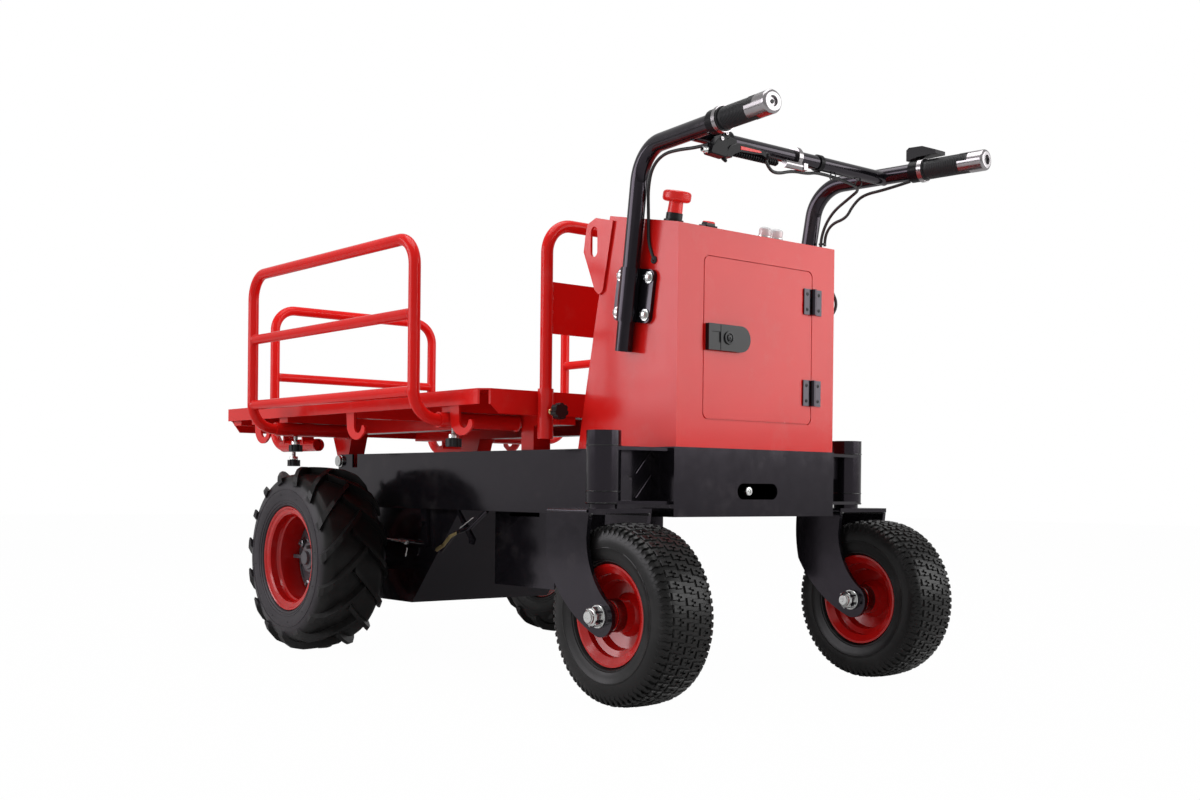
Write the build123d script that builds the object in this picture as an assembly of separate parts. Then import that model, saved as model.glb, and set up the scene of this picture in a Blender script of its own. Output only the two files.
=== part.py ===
from build123d import *
import math
import os

# Site dumper. Millimetres, +X towards the loading end, +Y left, +Z up, floor at Z = 0.
# Lengths along X are first measured from the drive-wheel axle; SHIFT then centres the whole machine on X.

os.makedirs("parts", exist_ok=True)

# ---- running gaps and small sheet sizes
PIN_GAP = 0.05        # radial, on shafts and pins
SLIDE_GAP = 0.5       # radial, rail tube in its socket
DOOR_SIDE_GAP = 2.0   # round the flush door
SEAT_GAP = 0.4        # between curved surfaces that seat on each other
REST_GAP = 0.3        # under the deck posts, on the chassis
SHEET = 3.0
PLATE = 4.0

# ---- chassis frame
FRAME_REAR = -1048.0
FRAME_FRONT = 161.0
FRAME_HALF = 215.0
FRAME_BOTTOM = 324.0
FRAME_TOP = 450.0
FRAME_CLOSED_TO = 66.0      # top, bottom and cross plate end here; the side plates run on as pivot ears
NOTCH_X0, NOTCH_X1, NOTCH_DEEP = 70.0, 94.0, 32.0
TOW_SLOT_W, TOW_SLOT_H, TOW_SLOT_Z = 108.0, 30.0, 371.0

# ---- tipping pivot
PIVOT_X = 150.0
PIVOT_Z = 434.0
PIVOT_PIN_D = 16.0
PIVOT_HEAD_D, PIVOT_HEAD_T = 26.0, 9.0

# ---- drive wheels
DRIVE_TRACK_HALF = 360.0
DRIVE_R = 208.0
DRIVE_CARCASS_R = 193.0
DRIVE_TYRE_W = 160.0
DRIVE_FLANGE_R = 117.5
DRIVE_RIM_HALF = 72.0
DRIVE_BEAD_R = 103.0
DRIVE_WELL_R = 95.0   # inside the barrel, behind the bead seats
DRIVE_NUT_R = 69.0    # circle of the wheel nuts
LUGS_PER_SIDE = 15
LUG_W = 15.0
LUG_LEAN = 45.0       # lug to the tread's circumference
LUG_CROSS = 15.0      # each lug reaches this far past the centre line
LUG_PHASE = 0.0

# ---- casters
KINGPIN_X = -986.0
KINGPIN_Y = 327.0
TRAIL = 77.0
CASTER_R = 158.0
CASTER_TYRE_W = 118.0
CASTER_FLANGE_R = 88.0
CASTER_RIM_HALF = 49.0
CASTER_BEAD_R = 77.0
FORK_HALF = 72.0
FORK_T = 8.0
FORK_PLATE_TOP = 339.0
FORK_FRONT, FORK_REAR = 68.0, -48.0       # from the kingpin, along X
KINGPIN_TUBE_D, KINGPIN_BORE_D = 62.0, 34.0
KINGPIN_TUBE_Z0, KINGPIN_TUBE_Z1 = 346.5, 476.5
KINGPIN_CAP_T = 6.0
FORK_AXLE_D = 20.0

# ---- kingpin arms
ARM_HALF = 50.0       # along X at the frame
ARM_T = 8.0
ARM_CUT_Y, ARM_CUT_Z = 264.0, 398.0
ARM_PAD_T = 4.0

# ---- underbody
BELLY_SET_IN = 20.0
BELLY_BOTTOM = 108.0
BELLY_X = (-343.0, -150.0, 95.0, 150.0)
BELLY_NOSE_Z = 190.0
BATTERY_X0, BATTERY_X1 = -622.0, -412.0
BATTERY_HALF = 150.0
BATTERY_Z0, BATTERY_Z1 = 165.0, 313.0
AXLE_TUBE_D, AXLE_D = 64.0, 30.0
HUB_Y = 345.0

# ---- control box
BOX_SET_IN = 4.0
BOX_HALF = FRAME_HALF - BOX_SET_IN
BOX_REAR = FRAME_REAR
BOX_FRONT_BOTTOM = -770.0
BOX_FRONT_TOP = -859.0
BOX_TOP_REAR = 851.0
BOX_TOP_FRONT = 888.0
DOOR_Y0, DOOR_Y1 = -145.0, 145.0
DOOR_Z0, DOOR_Z1 = 503.0, 798.0
DOOR_T = 2.5
DOOR_LAP = 14.0
DOOR_CORNER_R = 12.0
HINGE_PIN_D, HINGE_BARREL_D, HINGE_L = 5.0, 10.0, 50.0
HINGE_LEAF, HINGE_LEAF_T = 25.0, 3.0
HINGE_Z = (563.0, 740.0)
LATCH_Y0, LATCH_Y1, LATCH_Z, LATCH_H, LATCH_T = 33.0, 141.0, 652.0, 48.0, 9.0
CONTROLS_X = BOX_REAR + 38.0
STOP_Y, ROCKER_Y, LAMPS_Y = 188.0, 101.0, (-50.0, -82.0)

# ---- handlebars
HANDLE_OD = 32.0
HANDLE_LOW = (-921.0, BOX_HALF + HANDLE_OD / 2 + 0.5, 627.0)
HANDLE_BEND_X, HANDLE_END_X, HANDLE_TOP_Z = -976.0, -1337.0, 989.0
HANDLE_BEND_R = 70.0
#           name    side  Y at bend              Y at end
HANDLES = (("left", 1, HANDLE_LOW[1] + 8.5, HANDLE_LOW[1] + 57.5),
           ("right", -1, HANDLE_LOW[1] + 13.5, HANDLE_LOW[1] + 60.5))
GRIP_OD, GRIP_L = 36.0, 118.0
CAP_T = 8.0
CAP_L, FINGER_L = 30.0, 22.0
FERRULE_OD, FERRULE_L = 46.0, 9.0
COLLAR_OD, COLLAR_L = 42.0, 20.0
CROSSBAR_X, CROSSBAR_Z, CROSSBAR_OD = -1130.0, 984.0, 26.0
CLAMP_Z, CLAMP_H, CLAMP_W, CLAMP_T, SADDLE_T = 730.0, 98.0, 102.0, 8.0, 3.0
CABLE_D = 6.0

# ---- deck
DECK_FRONT = 421.0
DECK_REAR = -708.0
DECK_HALF = 393.0
DECK_TOP = 562.0
DECK_SIDE_H = 30.0
FRONT_APRON_H, REAR_APRON_H = 57.0, 47.0
APRON_CUT_IN, APRON_CUT_W = 3.0, 35.0
DECK_CORNER = 18.0
LONG_GAP, LONG_W, LONG_Z0 = 2.0, 43.0, 499.0
LONG_Y1 = FRAME_HALF - PLATE - LONG_GAP
LONG_Y0 = LONG_Y1 - LONG_W
HOOKS_X = ((227.0, 260.0), (-220.0, -220.0), (-625.0, -640.0))   # left side, right side
HOOK_T, HOOK_Y = 5.0, DECK_HALF - 10.0
BEARER_W, BEARER_Z0 = 40.0, 521.0
POST_X0, POST_X1 = -624.0, -583.0

# ---- rails
RAIL_OD = 24.0
RAIL_BAR_OD = 22.0
RAIL_R = 55.0
SOCKET_OD = 31.0
SIDE_Y = 461.0
SIDE_X0, SIDE_X1 = -572.0, 124.5
SIDE_LEG_Z = 505.0
SIDE_TOP_Z = 857.0
SIDE_BARS_Z = (558.0, 709.0)
SIDE_SOCKET_Y0, SIDE_SOCKET_Y1 = LONG_Y1 + 6.0, 404.0
FRONT_X = 455.0
FRONT_Y = 241.0
FRONT_LEG_Z = 474.0
FRONT_TOP_Z = 832.0
FRONT_BAR_Z = 655.0
FRONT_SOCKET_X0, FRONT_SOCKET_X1 = 215.0, 398.0
FRONT_HANGERS_X = (272.0, 372.0)
HANGER_T = 6.0
BEARERS_X = (SIDE_X0, -196.0, SIDE_X1) + FRONT_HANGERS_X
HEAD_X = -724.0
HEAD_Y = 256.0
HEAD_TOP_Z = 888.0
HEAD_R = 58.0
HEAD_LEG_Z = 475.0
HEAD_SOCKET_Z0, HEAD_SOCKET_Z1 = 469.0, 566.0
HEAD_PLATE_Z0, HEAD_PLATE_Z1 = 674.0, 775.0
KNOB_R, KNOB_T, KNOB_NECK, KNOB_STEM_D, KNOB_LOBES = 16.0, 16.0, 8.0, 9.0, 7

REAR_END = HANDLE_END_X - CAP_T
FRONT_END = FRONT_X + RAIL_OD / 2
SHIFT = -(REAR_END + FRONT_END) / 2

AXLE_Z = DRIVE_R
CASTER_Z = CASTER_R
CASTER_AXLE_X = KINGPIN_X - TRAIL
SIDES = (("left", 1), ("right", -1))


def block(x0, x1, y0, y1, z0, z1):
    return Pos((x0 + x1) / 2, (y0 + y1) / 2, (z0 + z1) / 2) * Box(abs(x1 - x0), abs(y1 - y0), abs(z1 - z0))


def rod(start, end, d):
    """Straight round bar between two points."""
    line = Line(start, end)
    return sweep(Plane(origin=line @ 0, z_dir=line % 0) * Circle(d / 2), path=line)


def ring(start, end, d, bore):
    line = Line(start, end)
    at = Plane(origin=line @ 0, z_dir=line % 0)
    return sweep(at * (Circle(d / 2) - Circle(bore / 2)), path=line)


def bent(points, radius, d):
    """Round bar along straight runs joined by tangent arcs."""
    path = FilletPolyline(*points, radius=radius)
    return sweep(Plane(origin=path @ 0, z_dir=path % 0) * Circle(d / 2), path=path)


def outline(*points):
    return make_face(Polyline(*points, close=True).edges())


def plate_xz(face, y0, y1):
    """Extrude a face drawn in X, Z across Y from y0 to y1."""
    flat = Plane(origin=(0, y0, 0), x_dir=(1, 0, 0), z_dir=(0, -1, 0)) * face
    return extrude(flat, amount=-(y1 - y0))


def turned(section, centre, width_axis=(0, 1, 0)):
    """Revolve a section, a face or a list of (offset along the axle, radius), about the axle through centre."""
    face = make_face(Polyline(*section, close=True).edges()) if isinstance(section, list) else section
    at = Plane(origin=centre, x_dir=width_axis, z_dir=(1, 0, 0) if width_axis[1] > 0 else (-1, 0, 0))
    return revolve(at * face, axis=Axis(centre, width_axis))


def spans(route):
    """For each inner corner, the arc radius that its shorter neighbouring run allows."""
    radii = []
    for before, here, after in zip(route, route[1:], route[2:]):
        u, v = Vector(*here) - Vector(*before), Vector(*after) - Vector(*here)
        half_turn = math.radians(u.get_angle(v)) / 2
        radii.append(min(u.length, v.length) / math.tan(half_turn))
    return radii


def plate_yz(face, x0, x1):
    """Extrude a face drawn in Y, Z across X from x0 to x1."""
    flat = Plane(origin=(x0, 0, 0), x_dir=(0, 1, 0), z_dir=(1, 0, 0)) * face
    return extrude(flat, amount=x1 - x0)


def joined(shapes):
    total = shapes[0]
    for shape in shapes[1:]:
        total = total + shape
    return total


def keep(name, shape):
    shape = Pos(SHIFT, 0, 0) * shape
    export_step(shape, f"parts/{name}.step")


def mirrored(shape, side):
    return shape if side > 0 else mirror(shape, about=Plane.XZ)


# ======== chassis frame
def chassis_frame():
    outer = block(FRAME_REAR, FRAME_CLOSED_TO, -FRAME_HALF, FRAME_HALF, FRAME_BOTTOM, FRAME_TOP)
    outer -= block(FRAME_REAR + PLATE, FRAME_CLOSED_TO - PLATE, -FRAME_HALF + PLATE, FRAME_HALF - PLATE,
                   FRAME_BOTTOM + PLATE, FRAME_TOP - PLATE)
    for s in (1, -1):
        ear = block(FRAME_CLOSED_TO - PLATE, FRAME_FRONT, FRAME_HALF - PLATE, FRAME_HALF,
                    FRAME_BOTTOM, FRAME_TOP)
        ear -= block(NOTCH_X0, NOTCH_X1, FRAME_HALF - 2 * PLATE, FRAME_HALF + PLATE,
                     FRAME_TOP - NOTCH_DEEP, FRAME_TOP + PLATE)
        ear -= Pos(PIVOT_X, FRAME_HALF, PIVOT_Z) * Rot(90, 0, 0) * Cylinder(
            PIVOT_PIN_D / 2 + PIN_GAP, 4 * PLATE)
        outer += mirrored(ear, s)
    slot = Plane(origin=(FRAME_REAR, 0, TOW_SLOT_Z), x_dir=(0, 1, 0), z_dir=(-1, 0, 0)) * SlotOverall(
        TOW_SLOT_W, TOW_SLOT_H)
    outer -= extrude(slot, amount=2 * PLATE, both=True)
    return outer


keep("chassis_frame", chassis_frame())

pin = rod((PIVOT_X, -FRAME_HALF, PIVOT_Z), (PIVOT_X, FRAME_HALF, PIVOT_Z), PIVOT_PIN_D)
for s in (1, -1):
    pin += rod((PIVOT_X, s * FRAME_HALF, PIVOT_Z), (PIVOT_X, s * (FRAME_HALF + PIVOT_HEAD_T), PIVOT_Z),
               PIVOT_HEAD_D)
keep("tip_pivot_pin", pin)

# ======== kingpin arms: web with a clearance cut, top and bottom plates, wall pad, two ribs
for name, s in SIDES:
    tube = ring((KINGPIN_X, KINGPIN_Y, KINGPIN_TUBE_Z0), (KINGPIN_X, KINGPIN_Y, KINGPIN_TUBE_Z1),
                KINGPIN_TUBE_D, KINGPIN_BORE_D)
    tube += rod((KINGPIN_X, KINGPIN_Y, KINGPIN_TUBE_Z1),
                (KINGPIN_X, KINGPIN_Y, KINGPIN_TUBE_Z1 - KINGPIN_CAP_T), KINGPIN_TUBE_D)
    cut = block(KINGPIN_X - ARM_T, KINGPIN_X + ARM_T, ARM_CUT_Y, KINGPIN_Y + ARM_T,
                KINGPIN_TUBE_Z0 - ARM_T, ARM_CUT_Z)
    cut = fillet(cut.edges().filter_by(Axis.X).group_by(Axis.Z)[-1], ARM_T)
    arm = block(KINGPIN_X - ARM_T / 2, KINGPIN_X + ARM_T / 2, FRAME_HALF, KINGPIN_Y,
                KINGPIN_TUBE_Z0, FRAME_TOP) - cut
    wing = KINGPIN_TUBE_D / 2 - 1
    plan = outline((KINGPIN_X - ARM_HALF, FRAME_HALF), (KINGPIN_X + ARM_HALF, FRAME_HALF),
                   (KINGPIN_X + wing, KINGPIN_Y), (KINGPIN_X - wing, KINGPIN_Y))
    for z in (KINGPIN_TUBE_Z0, FRAME_TOP - ARM_T):
        arm += extrude(Pos(0, 0, z) * plan, amount=ARM_T * 0.75)
    arm += block(KINGPIN_X - ARM_HALF / 2, KINGPIN_X + ARM_HALF, FRAME_HALF, FRAME_HALF + ARM_PAD_T,
                 KINGPIN_TUBE_Z0, FRAME_TOP - ARM_T)
    for z in (FRAME_TOP - ARM_T, ARM_CUT_Z):
        arm += rod((KINGPIN_X - ARM_T / 2, FRAME_HALF + ARM_PAD_T, z),
                   (KINGPIN_X - ARM_T / 2, ARM_CUT_Y - ARM_T, z - 1.1 * (ARM_CUT_Y - FRAME_HALF - ARM_PAD_T - ARM_T)),
                   ARM_T * 0.8)
    arm -= rod((KINGPIN_X, KINGPIN_Y, FRAME_BOTTOM), (KINGPIN_X, KINGPIN_Y, KINGPIN_TUBE_Z1), KINGPIN_TUBE_D - 1)
    keep(f"kingpin_arm_{name}", mirrored(arm + tube, s))

# ======== underbody
BELLY_HALF = FRAME_HALF - BELLY_SET_IN
xa, xb, xc, xd = BELLY_X
belly = outline((xa, FRAME_BOTTOM), (xb, BELLY_BOTTOM), (xc, BELLY_BOTTOM), (xd, BELLY_NOSE_Z), (xd, FRAME_BOTTOM))
keep("motor_housing", plate_xz(belly, -BELLY_HALF, BELLY_HALF))

battery = block(BATTERY_X0, BATTERY_X1, -BATTERY_HALF, BATTERY_HALF, BATTERY_Z0, BATTERY_Z1)
strap = (BATTERY_X1 - BATTERY_X0) / 4
for x_ in (BATTERY_X0, BATTERY_X1 - strap):
    battery += block(x_, x_ + strap, -BATTERY_HALF, BATTERY_HALF, BATTERY_Z1, FRAME_BOTTOM)
keep("battery_box", battery)

axle = []
for s in (1, -1):
    side = rod((0, s * BELLY_HALF, AXLE_Z), (0, s * (HUB_Y - 12), AXLE_Z), AXLE_TUBE_D)
    side += rod((0, s * BELLY_HALF, AXLE_Z), (0, s * (HUB_Y + 46), AXLE_Z), AXLE_D)
    axle.append(side)
keep("drive_axle", joined(axle))

# ======== parking-brake linkage under the left frame side: lever and rod, bracket and cable
LINK_Y0, LINK_Y1 = BELLY_HALF + 2, BELLY_HALF + 8
link_y = (LINK_Y0 + LINK_Y1) / 2
lever = make_face([
    Line((-196, FRAME_BOTTOM), (-200, 262)),
    ThreePointArc((-200, 262), (-212, 238), (-223, 262)),
    Line((-223, 262), (-219, FRAME_BOTTOM)),
    Line((-219, FRAME_BOTTOM), (-196, FRAME_BOTTOM)),
])
lever = plate_xz(lever, LINK_Y0, LINK_Y1)
lever += rod((-207, LINK_Y0, 289), (-207, LINK_Y1 + 7, 289), 13)
lever += bent([(-211, link_y, 247), (-120, link_y, 249), (0, link_y, AXLE_Z + AXLE_TUBE_D / 2 + 6)], 60, 8)
lever += block(-6, 6, LINK_Y0, LINK_Y1, AXLE_Z + AXLE_TUBE_D / 2 - 4, AXLE_Z + AXLE_TUBE_D / 2 + 6)
lever -= rod((0, LINK_Y0 - 1, AXLE_Z), (0, LINK_Y1 + 1, AXLE_Z), AXLE_TUBE_D + 2 * PIN_GAP)
hanger = outline((-336, FRAME_BOTTOM), (-346, FRAME_BOTTOM), (-408, 262), (-402, 250), (-388, 253), (-388, 262))
hanger = plate_xz(hanger, LINK_Y0, LINK_Y1)
hanger += bent([(-452, link_y, FRAME_BOTTOM), (-386, link_y, 284), (-330, link_y, 272), (-262, BELLY_HALF - 6, 230)],
               24, 9)
hanger -= plate_xz(belly, -BELLY_HALF, BELLY_HALF)
hanger -= block(FRAME_REAR, FRAME_FRONT, LINK_Y0 - 20, LINK_Y1 + 20, FRAME_BOTTOM, FRAME_TOP)
keep("brake_linkage", lever + max(hanger.solids(), key=lambda part: part.volume))

# ======== drive wheels
for name, s in SIDES:
    centre = (0, s * DRIVE_TRACK_HALF, AXLE_Z)
    out = (0, s, 0)
    b, f, h = DRIVE_BEAD_R, DRIVE_FLANGE_R, DRIVE_RIM_HALF
    disc = HUB_Y - DRIVE_TRACK_HALF
    well, wall = DRIVE_WELL_R, 3.0
    lip = [(h - 8, b - 3), (h - 5, b + 1), (h - 4, f - 7), (h - 1, f - 4), (h, f - 1), (h - 1, f), (h - 3, f),
           (h - 8, b - 2)]
    inside = [(disc + 4, well), (h - 31, well), (h - 28, well + 3), (h - 23, b - 3)]
    outside = [(h - 22, b - 2), (h - 32, well + wall)]
    rim = turned([(-a, r) for a, r in reversed(lip)] + [(-h + 23, b - 3), (-h + 31, well), (disc - 2, well),
                 (disc - 2, DRIVE_NUT_R + 8), (disc + 4, DRIVE_NUT_R + 8)] + inside + lip + outside
                 + [(-a, r) for a, r in reversed(outside)], centre, out)
    keep(f"drive_rim_{name}", rim)
    bore = AXLE_D / 2 + PIN_GAP
    hub = turned([(disc + 4, bore), (disc + 4, well - 2), (disc + 10, well - 3), (disc + 12, DRIVE_NUT_R - 18),
                  (disc + 30, 38), (disc + 34, 32), (disc + 34, bore)], centre, out)
    face_y, nut_z = centre[1] + s * (disc + 8), AXLE_Z + DRIVE_NUT_R
    for n in range(4):
        pocket = Plane(origin=(0, face_y, AXLE_Z + DRIVE_NUT_R + 2), x_dir=(1, 0, 0), z_dir=(0, s, 0))
        pocket = extrude(pocket * RectangleRounded(34, 28, 6), amount=10)
        rib = block(-4, 4, face_y, centre[1] + s * (disc + 26), AXLE_Z + 34, AXLE_Z + well - 5)
        stud = rod((0, face_y, nut_z), (0, centre[1] + s * (disc + 20), nut_z), 18)
        hub -= pocket.rotate(Axis(centre, (0, 1, 0)), 90 * n + 26)
        hub += rib.rotate(Axis(centre, (0, 1, 0)), 90 * n)
        hub += stud.rotate(Axis(centre, (0, 1, 0)), 90 * n + 64)
    keep(f"drive_hub_{name}", hub)
    w = DRIVE_TYRE_W / 2
    c = DRIVE_CARCASS_R
    seat_r, seat_a = b - 1.7, h - 8.4
    tyre = turned(make_face([
        Line((-seat_a, seat_r), (-h + 3.4, f + 0.4)), Line((-h + 3.4, f + 0.4), (-h - 2, f + 3)),
        ThreePointArc((-h - 2, f + 3), (-w, c - 44), (-w + 4, c - 22)),
        ThreePointArc((-w + 4, c - 22), (-w + 11, c - 10), (-w + 26, c - 3)),
        ThreePointArc((-w + 26, c - 3), (0, c), (w - 26, c - 3)),
        ThreePointArc((w - 26, c - 3), (w - 11, c - 10), (w - 4, c - 22)),
        ThreePointArc((w - 4, c - 22), (w, c - 44), (h + 2, f + 3)),
        Line((h + 2, f + 3), (h - 3.4, f + 0.4)), Line((h - 3.4, f + 0.4), (seat_a, seat_r)),
        Line((seat_a, seat_r), (-seat_a, seat_r))]), centre, out)
    reach = turned([(-LUG_CROSS, c - 8), (-LUG_CROSS, DRIVE_R), (w - 36, DRIVE_R), (w - 16, DRIVE_R - 5),
                    (w - 3, c - 3), (w + 1.5, c - 14), (w + 1.5, c - 30), (w - 12, c - 34)], centre, (0, 1, 0))
    bar = extrude(Rectangle(2.4 * w, LUG_W), amount=60, taper=4)
    bar = Pos(0, centre[1] + (w - LUG_CROSS) / 2, AXLE_Z + c - 30) * Rot(0, 0, -LUG_LEAN) * bar
    lug = bar & reach
    lugs = []
    for n in range(LUGS_PER_SIDE):
        for half in (1, -1):
            one = lug if half > 0 else mirror(lug, about=Plane(origin=centre, z_dir=(0, 1, 0)))
            turn = LUG_PHASE + (n + (0.5 if half < 0 else 0)) * 360 / LUGS_PER_SIDE
            lugs.append(one.rotate(Axis(centre, (0, 1, 0)), turn))
    keep(f"drive_tyre_{name}", tyre + lugs)

# ======== casters
for name, s in SIDES:
    axis_y = s * KINGPIN_Y
    edge = FORK_HALF - FORK_T
    x = lambda v: KINGPIN_X + v
    end_x, end_z, end_r = x(-TRAIL - 2), CASTER_Z - 2, 33
    side_face = make_face([
        Line((x(FORK_REAR), FORK_PLATE_TOP), (x(FORK_REAR) + 6, 290)),
        ThreePointArc((x(FORK_REAR) + 6, 290), (x(-54), 236), (end_x - 22, end_z + 24)),
        ThreePointArc((end_x - 22, end_z + 24), (end_x - 23, end_z - 24), (end_x + 8, end_z - 32)),
        ThreePointArc((end_x + 8, end_z - 32), (x(22), 182), (x(FORK_FRONT - 4), 235)),
        ThreePointArc((x(FORK_FRONT - 4), 235), (x(FORK_FRONT + 3), 284), (x(FORK_FRONT), FORK_PLATE_TOP)),
        Line((x(FORK_FRONT), FORK_PLATE_TOP), (x(FORK_REAR), FORK_PLATE_TOP)),
    ])
    fork = block(x(FORK_REAR), x(FORK_FRONT), axis_y - FORK_HALF, axis_y + FORK_HALF,
                 FORK_PLATE_TOP - FORK_T, FORK_PLATE_TOP)
    fork += plate_xz(side_face, axis_y + edge, axis_y + FORK_HALF)
    fork += plate_xz(side_face, axis_y - FORK_HALF, axis_y - edge)
    for e in (1, -1):
        fork += rod((x(FORK_REAR) + 3, axis_y + e * FORK_HALF, FORK_PLATE_TOP - 4),
                    (x(FORK_FRONT) - 3, axis_y + e * FORK_HALF, FORK_PLATE_TOP - 4), 6)
    fork += rod((KINGPIN_X, axis_y, FORK_PLATE_TOP), (KINGPIN_X, axis_y, KINGPIN_TUBE_Z0), 50)
    fork += rod((KINGPIN_X, axis_y, FORK_PLATE_TOP), (KINGPIN_X, axis_y, KINGPIN_TUBE_Z1 - KINGPIN_CAP_T - 2),
                KINGPIN_BORE_D - 2 * PIN_GAP)
    axle_out = FORK_HALF + 24
    fork += rod((CASTER_AXLE_X, axis_y - axle_out, CASTER_Z), (CASTER_AXLE_X, axis_y + axle_out, CASTER_Z), FORK_AXLE_D)
    for e in (1, -1):
        nut = Plane(origin=(CASTER_AXLE_X, axis_y + e * FORK_HALF, CASTER_Z), z_dir=(0, e, 0))
        fork += extrude(nut * Circle(19), amount=4)
        fork += extrude(nut * RegularPolygon(17, 6), amount=18)
    keep(f"caster_fork_{name}", fork)

    centre = (CASTER_AXLE_X, axis_y, CASTER_Z)
    b, f, h = CASTER_BEAD_R, CASTER_FLANGE_R, CASTER_RIM_HALF
    bore = FORK_AXLE_D / 2 + PIN_GAP
    hubw = edge - 6
    half = [(h - 3, f), (h, f), (h, f - 4), (h - 7, b - 5), (h - 17, b - 6), (h - 21, b - 16), (12, b - 19), (6, 38),
            (16, 30), (hubw, 26), (hubw, bore)]
    rim = turned([(-h + 8, b - 2), (h - 8, b - 2)] + half + [(-a, r) for a, r in reversed(half)], centre)
    keep(f"caster_rim_{name}", rim)
    w, c = CASTER_TYRE_W / 2, CASTER_R
    half = [(h - 8.4, b - 1.7), (h - 3.4, f + 0.4), (h + 2, f + 3), (w, 118), (w - 3, 136), (w - 16, c - 5), (20, c)]
    tyre = turned(half + [(-a, r) for a, r in reversed(half)], centre)
    keep(f"caster_tyre_{name}", tyre)

# ======== control box: folded sheet cabinet with a flush door opening and a stop frame behind it
profile = [(BOX_REAR, FRAME_TOP), (BOX_FRONT_BOTTOM, FRAME_TOP), (BOX_FRONT_TOP, BOX_TOP_FRONT),
           (BOX_REAR, BOX_TOP_REAR)]
outer_face = outline(*profile)
inner_face = offset(outer_face, amount=-SHEET)
box = plate_xz(outer_face, -BOX_HALF, BOX_HALF) - plate_xz(inner_face, -BOX_HALF + SHEET, BOX_HALF - SHEET)


def door_outline(grow):
    """Rounded door rectangle in Y, Z, larger all round by grow."""
    wide, high = DOOR_Y1 - DOOR_Y0 + 2 * grow, DOOR_Z1 - DOOR_Z0 + 2 * grow
    return Pos((DOOR_Y0 + DOOR_Y1) / 2, (DOOR_Z0 + DOOR_Z1) / 2) * RectangleRounded(wide, high, DOOR_CORNER_R)


box -= plate_yz(door_outline(DOOR_SIDE_GAP), BOX_REAR - SHEET, BOX_REAR + SHEET)
box += plate_yz(door_outline(DOOR_LAP) - door_outline(-DOOR_LAP), BOX_REAR + SHEET, BOX_REAR + 2 * SHEET)
LUG_FACE = [(-873, 877), (-845, 748), (-834, 742), (-821, 752), (-787, 828), (-792, 860), (-798, 880), (-823, 889)]
for s in (1, -1):
    lug = plate_xz(outline(*LUG_FACE), BOX_HALF, BOX_HALF + 5)
    slot = Plane(origin=(-818, BOX_HALF, 844), x_dir=(0, 0, 1), z_dir=(0, 1, 0)) * SlotOverall(58, 20)
    lug -= extrude(slot, amount=10, both=True)
    box += mirrored(lug, s)
keep("control_box", box)
keep("control_unit", block(BOX_REAR + 60, BOX_FRONT_TOP + 19, -BOX_HALF + 61, BOX_HALF - 61, FRAME_TOP + SHEET,
                           FRAME_TOP + 180))

# ======== door on two barrel hinges, with a paddle latch
keep("door_panel", plate_yz(door_outline(0), BOX_REAR, BOX_REAR + DOOR_T))
pin_x, pin_y = BOX_REAR - HINGE_BARREL_D / 2 - PIN_GAP, DOOR_Y0 - DOOR_SIDE_GAP / 2
reach_y = HINGE_BARREL_D / 2 + 0.5
door_leaves, box_leaves = [], []
for z in HINGE_Z:
    z0, z1, third = z - HINGE_L / 2, z + HINGE_L / 2, HINGE_L / 6
    leaf = block(BOX_REAR - HINGE_LEAF_T, BOX_REAR, pin_y + reach_y, pin_y + HINGE_LEAF, z0, z1)
    leaf += block(BOX_REAR - HINGE_LEAF_T, BOX_REAR, pin_y + 1, pin_y + reach_y, z - third, z + third)
    leaf += rod((pin_x, pin_y, z - third), (pin_x, pin_y, z + third), HINGE_BARREL_D)
    leaf -= rod((pin_x, pin_y, z0), (pin_x, pin_y, z1), HINGE_PIN_D + 2 * PIN_GAP)
    door_leaves.append(leaf)
    leaf = block(BOX_REAR - HINGE_LEAF_T, BOX_REAR, pin_y - HINGE_LEAF, pin_y - reach_y, z0, z1)
    for za, zb in ((z0, z - third - 0.3), (z + third + 0.3, z1)):
        leaf += block(BOX_REAR - HINGE_LEAF_T, BOX_REAR, pin_y - reach_y, pin_y - 2, za, zb)
        leaf += rod((pin_x, pin_y, za), (pin_x, pin_y, zb), HINGE_BARREL_D)
    leaf += rod((pin_x, pin_y, z0), (pin_x, pin_y, z1), HINGE_PIN_D)
    box_leaves.append(leaf)
keep("door_leaves", joined(door_leaves))
keep("door_hinges", joined(box_leaves))

paddle = Pos((LATCH_Y0 + LATCH_Y1 + LATCH_H / 2) / 2, LATCH_Z) * Rectangle(LATCH_Y1 - LATCH_Y0 - LATCH_H / 2, LATCH_H)
paddle += Pos(LATCH_Y0 + LATCH_H / 2, LATCH_Z) * Circle(LATCH_H / 2)
latch = plate_yz(paddle, BOX_REAR - LATCH_T, BOX_REAR)
lock_y = LATCH_Y1 - 51
latch += plate_yz(Pos(lock_y, LATCH_Z) * Circle(12), BOX_REAR - LATCH_T - 1.5, BOX_REAR - LATCH_T)
latch -= plate_yz(Pos(lock_y, LATCH_Z) * (Circle(8) - Circle(7)), BOX_REAR - LATCH_T - 2, BOX_REAR - LATCH_T)
latch -= block(BOX_REAR - LATCH_T, BOX_REAR - LATCH_T + 1.5, LATCH_Y1 - 31, LATCH_Y1 - 29.5,
               LATCH_Z - LATCH_H / 2, LATCH_Z + LATCH_H / 2)
latch -= block(BOX_REAR - LATCH_T, BOX_REAR - LATCH_T + 2.5, LATCH_Y1 - 29.5, LATCH_Y1 - 9, LATCH_Z - 10, LATCH_Z + 10)
keep("door_latch", latch)

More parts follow.
